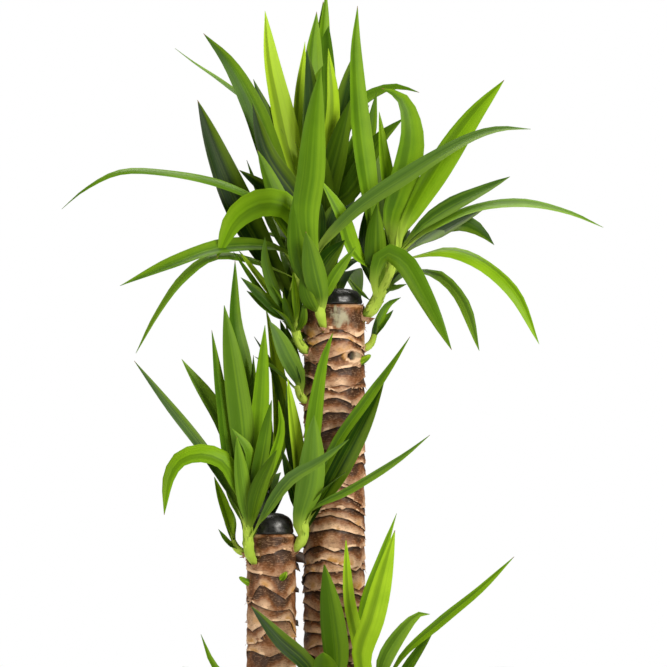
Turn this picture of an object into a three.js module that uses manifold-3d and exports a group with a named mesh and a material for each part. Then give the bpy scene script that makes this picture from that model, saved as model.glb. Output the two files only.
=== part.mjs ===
// Potted yucca with three bare canes and tufts of sword-shaped leaves
// Millimetres, +Z up. The origin is the middle of the pot's flat underside,
// and the plant's front faces -Y.

import * as THREE from 'three';
import { mergeVertices } from 'three/addons/utils/BufferGeometryUtils.js';
import Module from 'manifold-3d';

const wasm = await Module();
wasm.setup();

// Clearance between pieces that touch
const GAP = 0.3;

// Pot
const POT_HEIGHT = 200;
const POT_RIM_RADIUS = 120;
const POT_FOOT_RADIUS = 86;
const POT_WALL = 2.6;
const POT_FLOOR = 4;
const POT_LIP_HEIGHT = 22;
const POT_LIP_STEP = 4.5;
const POT_SIDES = 28;
const DRAIN_COUNT = 6;
const DRAIN_RADIUS = 5;
const DRAIN_SIDES = 8;
const DRAIN_CIRCLE_RADIUS = 58;

// Soil
const SOIL_LEVEL = 182;
const SOIL_CRUMB = 2.4;
const SOIL_RINGS = 6;
const CANE_SEAT_HEIGHT = 60;

// Canes: place of the axis, radius, height of the sawn top and of the wax on it, spacing of
// the leaf-scar rings
const CANES = {
  tall: { x: 23.2, y: 35, radius: 36.8, top: 775, wax: 19, ringPitch: 25, sides: 14, seed: 3 },
  medium: { x: -52.4, y: -10, radius: 29.3, top: 500, wax: 24.5, ringPitch: 25, sides: 14, seed: 11 },
  short: { x: 45, y: -42, radius: 29, top: 270, wax: 21, ringPitch: 20, sides: 14, seed: 23 },
};
const BARK_GROOVE = 1.4;
const BARK_LIP = 1.8;
const BARK_LIP_RISE = 4;
const BARK_WAVE = 3.6;
const CUT_CHAMFER = 2.5;

// Wax caps that seal the sawn tops
const WAX_COVER = 0.92;
const WAX_SIDES = 16;
const WAX_STEPS = 4;

// Leaf blades
const BLADE_STEP = 75;
const BLADE_STEP_BEND = 36;
const BLADE_STEPS_LEAST = 3;
const BLADE_STEPS_MOST = 8;
const BLADE_THICKNESS = 0.055;
const BLADE_FOLD = 0.09;
const BLADE_BASE = 0.38;
const ROOT_SPREAD = 0.55;
const BLADE_WIDEST = 0.45;
const BLADE_END = 0.95;
const GOLDEN_ANGLE = 0.618034;
const STEM_SIDES = 6;

// Directions
const UP = new THREE.Vector3(0, 0, 1);
const INTO_VIEW = new THREE.Vector3(0, 1, 0);

// Where the photo is seen from: height and side of the line of sight, and its length
const VIEW_X = 22.2;
const VIEW_Z = 739.8;
const VIEW_DISTANCE = 5000;

// Colours
const FINISHES = {
  pot: new THREE.MeshStandardMaterial({ color: 0x2b2a29, roughness: 0.55, metalness: 0 }),
  soil: new THREE.MeshStandardMaterial({ color: 0x2a1d14, roughness: 0.95, metalness: 0 }),
  bark: new THREE.MeshStandardMaterial({ color: 0x8a5a3c, roughness: 0.85, metalness: 0 }),
  wax: new THREE.MeshStandardMaterial({ color: 0x15130f, roughness: 0.3, metalness: 0 }),
  leaf: new THREE.MeshStandardMaterial({ color: 0x4d8a2c, roughness: 0.5, metalness: 0 }),
  bud: new THREE.MeshStandardMaterial({ color: 0x86a63c, roughness: 0.5, metalness: 0 }),
};

// Leafy shoots. The stem runs through three-dimensional points and tapers between two radii.
// A leaf row is [blade width, turn, twist, depth of the tip, height of the root on the stem,
// [x, z] points after the root, the last one the tip]. The points are places in the photo, on
// the plane y = 0; each is set along its line of sight at its own depth. Turn 0 shows the whole
// blade to the front; a positive turn brings its left edge forward. Twist adds to the turn
// towards the tip.
// The hidden rows are leaves that only the sides and back show, spread by the golden angle.
const SHOOTS = {
  tall_shoot_back: {
    stem: [[24, 62, 726], [23, 84, 764], [17, 82, 820], [12, 74, 890]],
    radii: [10, 6],
    leaves: [
      [31, 25, 10, 95, 870, [[-22, 936], [-43, 1020], [-53, 1068], [-60, 1127]]],
      [31, 15, 0, 60, 852, [[-36, 912], [-74, 1009], [-104, 1065], [-134, 1100]]],
      [15, 60, 0, 130, 858, [[-6, 900], [-47, 986], [-110, 1040], [-146, 1065], [-168, 1082]]],
      [26, 25, 0, 84, 846, [[-26, 906], [-47, 972], [-74, 1045]]],
      [28, 20, 0, 45, 834, [[-14, 890], [-57, 954], [-75, 1016]]],
      [22, 40, 0, 110, 876, [[-18, 972], [-20, 1008], [-12, 1090]]],
      [26, 20, 0, 85, 870, [[-4, 972], [-5, 1032], [-10, 1082]]],
      [36, 25, 0, 130, 876, [[5, 960], [-3, 1052], [2, 1126]]],
      [28, 30, 0, 150, 878, [[13, 996], [9, 1050], [13.5, 1152]]],
      [23, 35, 0, 66, 874, [[20, 960], [23, 1020], [16, 1082]]],
      [30, 10, 0, 50, 852, [[16, 912], [27, 960], [42, 1020]]],
      [27, 10, 10, 60, 846, [[18, 890], [42, 912], [75, 970], [106, 998]]],
      [20, 30, 0, 125, 870, [[24, 942], [48, 1010], [73, 1029], [98, 1036], [125, 1029]]],
    ],
    hidden: { count: 8, from: 72, to: 104, low: 25, high: 80, bend: 50, length: 290, width: 32, start: 0.3 },
  },
  tall_shoot_right: {
    stem: [[56, 26, 756], [70, 20, 772], [82, 16, 798], [101, 10, 842]],
    radii: [10.5, 7],
    leaves: [
      [28, 30, 0, -5, 799, [[64, 912], [54, 990], [48.5, 1080], [51, 1133]]],
      [19, 30, 0, 18, 826, [[90, 897], [82, 960], [77, 1006]]],
      [34, 10, 20, 0, 830, [[91, 874], [105, 918], [116, 980], [104, 1022], [80, 1034]]],
      [31, -10, 0, -20, 838, [[108, 866], [153, 946], [190, 1001], [227, 1044]]],
      [25, -42, 0, 10, 835, [[127, 867], [158, 889], [201, 911], [234, 928]]],
      [22, -60, 0, -10, 833, [[132, 860], [187, 887], [246, 895], [305, 884], [346, 867]]],
      [20, -50, 0, 60, 830, [[119, 844], [156, 863], [213, 897]]],
      [32, -38, 10, 70, 828, [[150, 867], [176, 872], [197, 863], [215, 846]]],
      [24, -45, 30, -35, 826, [[120, 833], [161, 839], [198, 826], [239, 790], [269, 727]]],
      [25, 10, 0, -50, 780, [[73, 811], [84, 836], [105, 827], [130, 787], [164, 720]]],
      [23, -50, 30, 40, 816, [[128, 813], [149, 807], [175, 779], [197, 719]]],
      [27, 10, 0, -10, 785, [[73, 840], [74, 895]]],
      [20, 20, 0, -15, 806, [[48, 838], [32, 882], [7, 924]]],
    ],
    hidden: { count: 4, from: 68, to: 100, low: 20, high: 60, bend: 45, length: 230, width: 30, start: 0.1 },
  },
  tall_shoot_front: {
    stem: [[12, 4, 742], [6, -10, 766], [2, -20, 800], [0, -22, 838]],
    radii: [8, 6],
    leaves: [
      [34, 0, 0, -70, 792, [[-11, 882], [-5, 930], [0, 1000], [7, 1058]]],
      [25, -40, -20, -45, 810, [[4, 834], [42, 881], [116, 932], [189, 975], [223, 985], [259, 985]]],
      [28, 5, 0, -60, 766, [[7, 780], [0, 810], [-11, 862]]],
      [25, 5, 0, -50, 780, [[-4, 792], [-18, 828], [-25, 907]]],
      [15, -20, 0, -50, 773, [[21, 803], [49, 844]]],
      [26, -20, 0, -25, 785, [[8, 816], [36, 852]]],
    ],
    hidden: { count: 2, from: 60, to: 95, low: 50, high: 70, bend: 30, length: 95, width: 26, start: 0.2 },
  },
  tall_shoot_left: {
    stem: [[-6, 44, 738], [-24, 46, 762], [-24, 42, 795], [-12, 38, 832]],
    radii: [9, 6],
    leaves: [
      [39, 20, 0, 70, 766, [[-37, 792], [-86, 881], [-115, 948], [-141, 1020]]],
      [19, 60, 0, 20, 826, [[-54, 889], [-108, 919], [-180, 934], [-236, 934], [-278, 912], [-304, 889]]],
      [24, 22, 0, 44, 830, [[-28, 886], [-54, 909], [-91, 936]]],
      [35, 10, -10, 10, 834, [[-30, 890], [-62, 898], [-95, 879], [-118, 830]]],
      [25, 45, 0, 0, 818, [[-42, 840], [-108, 844], [-171, 824], [-234, 797]]],
      [19, 55, 0, 15, 806, [[-68, 826], [-121, 834], [-160, 807], [-191, 763], [-215, 716]]],
      [27, 30, 0, 30, 830, [[-38, 883], [-69, 960]]],
    ],
    hidden: { count: 4, from: 90, to: 104, low: 25, high: 50, bend: 35, length: 190, width: 29, start: 0.6 },
  },
  tall_shoot_low_left: {
    stem: [[-5, 22, 714], [-18, 12, 727], [-27, 5, 758]],
    radii: [7.5, 5],
    leaves: [
      [15, 20, 0, -5, 754, [[-42, 776], [-59, 826], [-60, 856]]],
      [12, 15, 0, -10, 744, [[-28, 750], [-38, 786]]],
      [15, 25, 0, 5, 749, [[-45, 767], [-89, 807]]],
      [11, 50, 0, 15, 754, [[-61, 785], [-98, 838]]],
      [14, 30, 0, 10, 749, [[-38, 757], [-82, 791]]],
    ],
    hidden: { count: 2, from: 205, to: 250, low: 50, high: 70, bend: 30, length: 60, width: 14, start: 0.4 },
  },
  tall_shoot_side_left: {
    stem: [[-6, 26, 654], [-17, 18, 664], [-22, 14, 678]],
    radii: [7, 4.5],
    leaves: [
      [24, 20, 0, 0, 665, [[-22, 690], [-33, 712], [-45, 738], [-55, 755]]],
      [19, 40, 0, 22, 670, [[-25, 694], [-42, 756]]],
    ],
    hidden: { count: 1, from: 140, to: 230, low: 30, high: 60, bend: 20, length: 80, width: 16, start: 0.5 },
  },
  tall_shoot_side_right: {
    stem: [[54, 37, 718], [67, 39, 727], [72, 40, 739]],
    radii: [6, 4],
    leaves: [
      [11, 20, 0, 60, 727, [[74, 747], [88, 774], [103, 783]]],
    ],
    hidden: { count: 1, from: 20, to: 80, low: 40, high: 60, bend: 20, length: 50, width: 10, start: 0.5 },
  },
  medium_shoot_left: {
    stem: [[-70, -28, 462], [-78, -42, 480], [-80, -46, 520], [-83, -48, 590]],
    radii: [8, 6],
    leaves: [
      [19, 5, 0, -75, 498, [[-80, 510], [-84, 540], [-94, 616]]],
      [30, 10, 0, -60, 528, [[-86, 612], [-95, 684], [-109, 774]]],
      [24, 35, 0, -20, 552, [[-86, 697], [-96, 752], [-96, 828]]],
      [19, 40, 0, -55, 522, [[-105, 594], [-113, 660], [-124, 744]]],
      [23, 30, 0, -30, 552, [[-110, 630], [-160, 709]]],
      [15, 25, 0, -50, 504, [[-94, 534], [-128, 592], [-180, 659], [-217, 707]]],
      [25, 20, 0, -80, 516, [[-92, 552], [-108, 587], [-137, 597], [-163, 589], [-176, 567], [-181, 522]]],
      [21, 30, 0, -15, 552, [[-78, 612], [-106, 654]]],
      [19, 50, 0, -30, 546, [[-76, 612], [-74, 714]]],
      [23, 20, 0, -50, 516, [[-74, 552], [-65, 648], [-60, 750]]],
      [19, 20, 0, -70, 516, [[-71, 552], [-52, 660]]],
      [21, 10, 0, -85, 502, [[-68, 552], [-46, 600]]],
      [17, -30, 0, -104, 494, [[-64, 516], [-30, 564], [6, 586], [41, 613]]],
    ],
    hidden: { count: 3, from: 80, to: 110, low: 55, high: 72, bend: 25, length: 190, width: 28, start: 0.7 },
  },
  medium_shoot_far_left: {
    stem: [[-80, -6, 474], [-93, -8, 482], [-99, -10, 492]],
    radii: [6, 4.5],
    leaves: [
      [13, 20, 0, -5, 485, [[-102, 510], [-121, 568]]],
      [14, 40, 0, 5, 490, [[-100, 510], [-112, 546]]],
    ],
    hidden: { count: 1, from: 100, to: 140, low: 40, high: 60, bend: 20, length: 60, width: 13, start: 0.2 },
  },
  medium_shoot_back: {
    stem: [[-56, 12, 466], [-64, 26, 492], [-64, 26, 552]],
    radii: [8, 5.5],
    leaves: [
      [14, 40, 0, 66, 540, [[-39, 612], [-51, 697], [-73, 736]]],
      [21, 25, 0, 88, 546, [[-45, 600], [-42, 660], [-52, 738], [-59, 769]]],
    ],
    hidden: { count: 6, from: 82, to: 104, low: 25, high: 75, bend: 45, length: 190, width: 30, start: 0.5 },
  },
  medium_shoot_right: {
    stem: [[-30, -16, 476], [-15, -22, 494], [-14, -27, 520], [-17, -30, 546]],
    radii: [8, 6],
    leaves: [
      [33, 5, 0, -65, 499, [[-18, 510], [-5, 564], [-1, 642]]],
      [22, 30, 0, -35, 516, [[0, 636], [11, 708], [22, 742]]],
      [17, -40, 0, -45, 522, [[25, 605], [64, 661], [92, 701], [114, 736]]],
      [30, -15, 0, -40, 509, [[8, 540], [44, 606], [83, 682]]],
      [11, -30, 0, -75, 504, [[-4, 527], [43, 552], [103, 590], [138, 618]]],
      [18, 30, 0, -20, 518, [[-20, 588], [-33, 686]]],
      [15, 45, 0, -5, 516, [[-24, 570], [-32, 612], [-34, 678]]],
    ],
    hidden: { count: 1, from: -35, to: -15, low: 50, high: 60, bend: 30, length: 85, width: 22, start: 0.4 },
  },
  short_shoot_left: {
    stem: [[27, -59, 244], [17, -71, 262], [14, -75, 290], [17, -76, 314]],
    radii: [8.5, 6],
    leaves: [
      [23, 25, 0, -95, 300, [[-8, 340], [-42, 372], [-77, 413]]],
      [16, 50, 0, -70, 293, [[-42, 294], [-90, 312], [-121, 340], [-137, 379]]],
      [31, 5, 0, -110, 300, [[26, 340], [22, 390], [11, 464]]],
    ],
    hidden: { count: 7, from: 175, to: 290, low: 0, high: 26, bend: 35, length: 200, width: 30, start: 0.1 },
  },
  short_shoot_right: {
    stem: [[66, -40, 244], [82, -46, 262], [82, -50, 290], [76, -52, 314]],
    radii: [8.5, 6],
    leaves: [
      [29, 15, 0, -85, 298, [[57, 348], [72, 402], [96, 504]]],
      [20, -20, 0, -60, 300, [[81, 338], [105, 382], [126, 403], [138, 403]]],
      [14, -40, 40, -85, 305, [[102, 348], [151, 393], [198, 432], [239, 472]]],
      [14, -30, 0, -40, 300, [[109, 335], [144, 387]]],
    ],
    hidden: { count: 6, from: -100, to: -5, low: -8, high: 18, bend: 30, length: 190, width: 30, start: 0.8 },
  },
  short_shoot_back: {
    stem: [[53, -24, 242], [61, -7, 262], [61, -6, 304]],
    radii: [6.5, 5],
    leaves: [
      [18, 30, 0, -40, 296, [[52, 372], [42, 420], [37, 494]]],
      [17, 35, 0, -30, 292, [[60, 407], [81, 473], [98, 524]]],
    ],
    hidden: { count: 4, from: 10, to: 70, low: -5, high: 16, bend: 25, length: 170, width: 28, start: 0.3 },
  },
};

// Buds that break through the bark: place on the cane's axis side, direction and size
const BUDS = {
  bud_tall_right: { cane: 'tall', azimuth: -24, height: 706, size: 5.2 },
  bud_medium_right: { cane: 'medium', azimuth: -62, height: 448, size: 4.5 },
  bud_medium_left: { cane: 'medium', azimuth: -160, height: 441, size: 4.5 },
};

const DEGREE = Math.PI / 180;
const lerp = THREE.MathUtils.lerp;
const clamp = THREE.MathUtils.clamp;

// Repeatable value from 0 to 1 for a whole number and a seed
function draw(index, seed) {
  const wave = Math.sin(index * 12.9898 + seed * 78.233) * 43758.5453;
  return wave - Math.floor(wave);
}

// Closed solid from a geometry whose copies of shared vertices are merged
function solid(geometry) {
  const bare = geometry.clone();
  bare.deleteAttribute('normal');
  bare.deleteAttribute('uv');
  const merged = mergeVertices(bare, 1e-3);
  const index = merged.index.array;
  const kept = [];
  for (let i = 0; i < index.length; i += 3) {
    const [a, b, c] = [index[i], index[i + 1], index[i + 2]];
    if (a !== b && b !== c && c !== a) kept.push(a, b, c);
  }
  const vertProperties = new Float32Array(merged.attributes.position.array);
  const make = (triangles) => new wasm.Manifold(new wasm.Mesh({
    numProp: 3,
    vertProperties,
    triVerts: new Uint32Array(triangles),
  }));
  const made = make(kept);
  if (made.volume() > 0) return made;
  for (let i = 0; i < kept.length; i += 3) {
    [kept[i + 1], kept[i + 2]] = [kept[i + 2], kept[i + 1]];
  }
  return make(kept);
}

// Named mesh from a closed solid
function piece(name, body, finish) {
  const result = body.getMesh();
  const geometry = new THREE.BufferGeometry();
  geometry.setAttribute('position', new THREE.BufferAttribute(result.vertProperties, 3));
  geometry.setIndex(new THREE.BufferAttribute(result.triVerts, 1));
  geometry.computeVertexNormals();
  const mesh = new THREE.Mesh(geometry, finish);
  mesh.name = name;
  return mesh;
}

// Turned solid from [radius, height] points that start and end on the Z axis
function turned(points, sides) {
  const outline = points.map(([radius, height]) => new THREE.Vector2(radius, height));
  return new THREE.LatheGeometry(outline, sides).rotateX(Math.PI / 2);
}

// Skin over rings of equal count, capped at the start and closed to a point at the end.
// The diagonals mirror each other, so both faces of a thin blade split alike.
function loft(rings, apex) {
  const count = rings[0].length;
  const vertices = rings.flat();
  const index = [];
  for (let i = 0; i + 1 < rings.length; i++) {
    for (let k = 0; k < count; k++) {
      const a = i * count + k;
      const b = i * count + (k + 1) % count;
      const c = a + count;
      const d = b + count;
      if (k % 2 === 0) index.push(a, b, d, a, d, c);
      else index.push(a, b, c, b, d, c);
    }
  }
  for (let k = 0; k + 2 < count; k++) {
    index.push(1, (k + 3) % count, (k + 2) % count);
  }
  const last = (rings.length - 1) * count;
  vertices.push(apex);
  for (let k = 0; k < count; k++) {
    index.push(last + k, last + (k + 1) % count, vertices.length - 1);
  }
  const geometry = new THREE.BufferGeometry().setFromPoints(vertices);
  geometry.setIndex(index);
  return geometry;
}

// Share of the full blade width at a share of the leaf's length
function bladeOutline(share) {
  const opening = Math.min(share / BLADE_WIDEST, 1);
  const swell = BLADE_BASE + (1 - BLADE_BASE) * opening * opening * (3 - 2 * opening);
  const closing = Math.max(share - BLADE_WIDEST, 0) / (1 - BLADE_WIDEST);
  return swell * (1 - closing ** 2.2);
}

// Degrees through which a curve turns from end to end
function totalBend(curve) {
  let bend = 0;
  for (let i = 0; i < 8; i++) {
    bend += curve.getTangentAt(i / 8).angleTo(curve.getTangentAt((i + 1) / 8)) / DEGREE;
  }
  return bend;
}

// One leaf blade: a shallow trough that is thickest along its midrib
function blade(leaf) {
  const curve = new THREE.CatmullRomCurve3(leaf.points, false, 'centripetal');
  const middle = curve.getPointAt(0.5);
  const wanted = curve.getLength() / BLADE_STEP + totalBend(curve) / BLADE_STEP_BEND + 1;
  const steps = clamp(Math.round(wanted), BLADE_STEPS_LEAST, BLADE_STEPS_MOST);
  const rings = [];
  let faceUp = 0;
  for (let i = steps; i >= 0; i--) {
    const share = BLADE_END * i / steps;
    const centre = curve.getPointAt(share);
    const along = curve.getTangentAt(share);
    const level = new THREE.Vector3().crossVectors(along, leaf.reference).normalize();
    const lean = new THREE.Vector3().crossVectors(along, level);
    const angle = (leaf.turn + leaf.twist * (share - 0.5)) * DEGREE;
    const side = level.multiplyScalar(Math.cos(angle)).addScaledVector(lean, Math.sin(angle));
    const face = new THREE.Vector3().crossVectors(side, along).normalize();
    if (faceUp === 0) {
      const inward = leaf.crown.clone().sub(middle);
      faceUp = Math.sign(face.dot(inward)) || 1;
    }
    face.multiplyScalar(faceUp);
    const half = leaf.width / 2 * bladeOutline(share);
    const fold = half * 2 * BLADE_FOLD;
    const thick = Math.max(leaf.width * BLADE_THICKNESS, 1) * (0.55 + 0.45 * bladeOutline(share));
    const at = (across, lift) => centre.clone().addScaledVector(side, across)
      .addScaledVector(face, lift);
    rings.unshift([at(-half, fold), at(0, thick / 2), at(half, fold), at(0, -thick / 2)]);
  }
  return solid(loft(rings, curve.getPointAt(1)));
}

// Round tapering stem of a shoot, grown on all sides where its socket is cut
function stem(shoot, grow) {
  const curve = new THREE.CatmullRomCurve3(shoot.stem.map((p) => new THREE.Vector3(...p)));
  const rings = [];
  const steps = 2 * (shoot.stem.length - 1);
  for (let i = 0; i <= steps; i++) {
    const share = i / steps;
    const centre = curve.getPoint(share);
    const along = curve.getTangent(share);
    const side = new THREE.Vector3().crossVectors(along, INTO_VIEW).normalize();
    const face = new THREE.Vector3().crossVectors(side, along);
    if (i === 0) centre.addScaledVector(along, -grow);
    const radius = lerp(shoot.radii[0], shoot.radii[1], share) + grow;
    const ring = [];
    for (let k = 0; k < STEM_SIDES; k++) {
      const turn = 2 * Math.PI * k / STEM_SIDES;
      ring.push(centre.clone().addScaledVector(side, radius * Math.cos(turn))
        .addScaledVector(face, radius * Math.sin(turn)));
    }
    rings.push(ring);
  }
  const tip = curve.getPoint(1).addScaledVector(curve.getTangent(1), shoot.radii[1]);
  return solid(loft(rings, tip));
}

// Point of the stem's axis at a height
function stemPoint(shoot, height) {
  const curve = new THREE.CatmullRomCurve3(shoot.stem.map((p) => new THREE.Vector3(...p)));
  let best = curve.getPoint(0);
  for (let i = 1; i <= 60; i++) {
    const point = curve.getPoint(i / 60);
    if (Math.abs(point.z - height) < Math.abs(best.z - height)) best = point;
  }
  return best;
}

// Point at a depth that shows at (x, z) on the plane y = 0
function seenAt(x, y, z) {
  const away = 1 + y / VIEW_DISTANCE;
  return new THREE.Vector3(lerp(VIEW_X, x, away), y, lerp(VIEW_Z, z, away));
}

// Leaves that the front shows, from their rows
function shownLeaves(shoot) {
  const crown = new THREE.Vector3(...shoot.stem.at(-1)).addScaledVector(UP, 200);
  return shoot.leaves.map(([width, turn, twist, tipDepth, rootHeight, path]) => {
    const root = stemPoint(shoot, rootHeight);
    const [tipX] = path.at(-1);
    const outward = new THREE.Vector3(tipX - root.x, tipDepth - root.y, 0);
    root.addScaledVector(outward.normalize(), ROOT_SPREAD * shoot.radii[1]);
    const runs = [0];
    let last = [root.x, root.z];
    for (const [x, z] of path) {
      runs.push(runs.at(-1) + Math.hypot(x - last[0], z - last[1]));
      last = [x, z];
    }
    const points = path.map(([x, z], i) => {
      const left = 1 - runs[i + 1] / runs.at(-1);
      return seenAt(x, lerp(tipDepth, root.y, left * left), z);
    });
    return { width, turn, twist, crown, reference: INTO_VIEW, points: [root, ...points] };
  });
}

// Leaves towards the sides and back, lower ones flatter and more bent
function hiddenLeaves(shoot) {
  const { count, from, to, low, high, bend, length, width, start } = shoot.hidden;
  const crown = new THREE.Vector3(...shoot.stem.at(-1)).addScaledVector(UP, 200);
  const foot = shoot.stem[1][2];
  const head = shoot.stem.at(-1)[2];
  const leaves = [];
  for (let i = 0; i < count; i++) {
    const level = (i + 0.5) / count;
    const azimuth = lerp(from, to, (start + i * GOLDEN_ANGLE) % 1) * DEGREE;
    const rise = lerp(low, high, level) * DEGREE;
    const droop = bend * (1.1 - level) * DEGREE;
    const reach = length * (0.8 + 0.3 * draw(i, count + from)) / 3;
    const root = stemPoint(shoot, lerp(foot, head, level));
    const outward = new THREE.Vector3(Math.cos(azimuth), Math.sin(azimuth), 0);
    root.addScaledVector(outward, ROOT_SPREAD * shoot.radii[1]);
    const points = [root];
    for (let step = 0; step < 3; step++) {
      const slope = rise - droop * step / 2;
      const move = outward.clone().multiplyScalar(Math.cos(slope))
        .addScaledVector(UP, Math.sin(slope));
      points.push(points.at(-1).clone().addScaledVector(move, reach));
    }
    const turn = 30 * (draw(i, 5 + count) - 0.5);
    leaves.push({ width, turn, twist: 15, crown, reference: UP, points });
  }
  return leaves;
}

// Leafy shoot: its stem and every leaf fused in one solid, with sealed hollows filled
function leafyShoot(shoot) {
  const leaves = [...shownLeaves(shoot), ...hiddenLeaves(shoot)];
  const body = leaves.reduce((rest, leaf) => rest.add(blade(leaf)), stem(shoot, 0));
  const parts = body.decompose();
  return parts.reduce((best, part) => (part.volume() > best.volume() ? part : best));
}

// Cane with a leaf-scar relief above the soil and a plain foot below it
function cane(spec) {
  const points = [[0, CANE_SEAT_HEIGHT], [spec.radius, CANE_SEAT_HEIGHT], [spec.radius, SOIL_LEVEL]];
  const start = SOIL_LEVEL + 12;
  const rings = Math.floor((spec.top - 10 - start) / spec.ringPitch);
  const pitch = (spec.top - 10 - start) / rings;
  for (let ring = 0; ring < rings; ring++) {
    points.push([spec.radius - BARK_GROOVE, start + ring * pitch]);
    points.push([spec.radius + BARK_LIP, start + ring * pitch + pitch - BARK_LIP_RISE]);
  }
  points.push([spec.radius, spec.top - CUT_CHAMFER]);
  points.push([spec.radius - CUT_CHAMFER, spec.top], [0, spec.top]);
  const geometry = turned(points, spec.sides);
  const place = geometry.attributes.position;
  for (let i = 0; i < place.count; i++) {
    const [x, y, z] = [place.getX(i), place.getY(i), place.getZ(i)];
    const inBark = z > start - 1 && z < spec.top - CUT_CHAMFER - 1;
    if (!inBark || Math.hypot(x, y) < 1) continue;
    const turn = Math.atan2(y, x);
    const ring = Math.round((z - start) / pitch);
    const phase = 2 * Math.PI * draw(ring, spec.seed);
    const fade = Math.min((z - start + 4) / 12, (spec.top - z) / 12, 1);
    const wave = Math.sin(2 * turn + phase) + 0.6 * Math.sin(3 * turn + 2 * phase);
    place.setZ(i, z + fade * BARK_WAVE * wave);
    const swell = 1 + 0.02 * Math.sin(turn + phase);
    place.setXY(i, x * swell, y * swell);
  }
  return solid(geometry).translate([spec.x, spec.y, 0]);
}

// Plain round hole for a cane's foot
function caneHole(spec) {
  const hole = [
    [0, CANE_SEAT_HEIGHT - GAP], [spec.radius + GAP, CANE_SEAT_HEIGHT - GAP],
    [spec.radius + GAP, SOIL_LEVEL + 30], [0, SOIL_LEVEL + 30],
  ];
  return solid(turned(hole, spec.sides)).translate([spec.x, spec.y, 0]);
}

// Low dome of wax that sits on the sawn top
function waxCap(spec) {
  const radius = spec.radius * WAX_COVER - CUT_CHAMFER / 2;
  const foot = spec.top + GAP;
  const points = [[0, foot], [radius, foot], [radius + 0.6, foot + 3]];
  for (let i = 1; i < WAX_STEPS; i++) {
    const turn = Math.PI / 2 * i / WAX_STEPS;
    points.push([radius * Math.cos(turn), foot + 3 + (spec.wax - 3) * Math.sin(turn)]);
  }
  points.push([0, foot + spec.wax]);
  return solid(turned(points, WAX_SIDES)).translate([spec.x, spec.y, 0]);
}

// Inner radius of the pot at a height
function potInside(height) {
  const share = height / (POT_HEIGHT - POT_LIP_HEIGHT);
  return lerp(POT_FOOT_RADIUS, POT_RIM_RADIUS - POT_LIP_STEP, Math.min(share, 1)) - POT_WALL;
}

// Plain round pot with a stepped lip and drain holes
function pot() {
  const shoulder = POT_HEIGHT - POT_LIP_HEIGHT;
  const points = [
    [0, 0], [POT_FOOT_RADIUS - 2, 0], [POT_FOOT_RADIUS, 2],
    [POT_RIM_RADIUS - POT_LIP_STEP, shoulder],
    [POT_RIM_RADIUS - 0.5, shoulder + 1],
    [POT_RIM_RADIUS, POT_HEIGHT - 1.5], [POT_RIM_RADIUS - 1.2, POT_HEIGHT],
    [POT_RIM_RADIUS - POT_WALL - 1, POT_HEIGHT],
    [POT_RIM_RADIUS - POT_WALL - 1.6, shoulder + 4],
    [potInside(shoulder - 2), shoulder - 2],
    [potInside(POT_FLOOR), POT_FLOOR], [0, POT_FLOOR],
  ];
  let body = solid(turned(points, POT_SIDES));
  for (let i = 0; i < DRAIN_COUNT; i++) {
    const turn = 2 * Math.PI * (i + 0.5) / DRAIN_COUNT;
    const drill = new THREE.CylinderGeometry(DRAIN_RADIUS, DRAIN_RADIUS, 4 * POT_FLOOR, DRAIN_SIDES);
    drill.rotateX(Math.PI / 2);
    drill.translate(DRAIN_CIRCLE_RADIUS * Math.cos(turn), DRAIN_CIRCLE_RADIUS * Math.sin(turn), 0);
    body = body.subtract(solid(drill));
  }
  return body;
}

// Soil that fills the pot, with a crumbly top and a plain hole for each cane
function soil() {
  const foot = POT_FLOOR + GAP;
  const rim = potInside(POT_HEIGHT - POT_LIP_HEIGHT - 3) - 2 * GAP;
  const points = [[0, foot], [potInside(POT_FLOOR) - 2 * GAP, foot]];
  points.push([rim, POT_HEIGHT - POT_LIP_HEIGHT - 3]);
  for (let ring = 0; ring <= SOIL_RINGS; ring++) {
    points.push([rim * (1 - ring / SOIL_RINGS), SOIL_LEVEL]);
  }
  const geometry = turned(points, POT_SIDES);
  const place = geometry.attributes.position;
  for (let i = 0; i < place.count; i++) {
    const [x, y, z] = [place.getX(i), place.getY(i), place.getZ(i)];
    if (z < SOIL_LEVEL - 1) continue;
    const crumb = draw(Math.round(x) * 7 + Math.round(y) * 131, 2);
    place.setZ(i, z + SOIL_CRUMB * (crumb - 0.5) * 2);
  }
  const body = solid(geometry);
  return Object.values(CANES).reduce((rest, spec) => rest.subtract(caneHole(spec)), body);
}

// Pointed bud on the bark, sunk in a socket of its own
function bud(spec, grow) {
  const { x, y, radius } = CANES[spec.cane];
  const azimuth = spec.azimuth * DEGREE;
  const out = new THREE.Vector3(Math.cos(azimuth), Math.sin(azimuth), 0);
  const foot = new THREE.Vector3(x, y, spec.height).addScaledVector(out, radius - 5 - grow);
  const side = new THREE.Vector3().crossVectors(out, UP);
  const sizes = [[0, 0.8], [5, 1], [9, 0.85], [13, 0.5]];
  const rings = sizes.map(([reach, share]) => {
    const ring = [];
    for (let k = 0; k < STEM_SIDES; k++) {
      const turn = 2 * Math.PI * k / STEM_SIDES;
      const size = spec.size * share + grow;
      ring.push(foot.clone().addScaledVector(out, reach)
        .addScaledVector(side, 0.8 * size * Math.cos(turn))
        .addScaledVector(UP, size * Math.sin(turn) + reach * 0.35));
    }
    return ring;
  });
  const tip = foot.clone().addScaledVector(out, 16 + grow).addScaledVector(UP, 8);
  return solid(loft(rings, tip));
}

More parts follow.
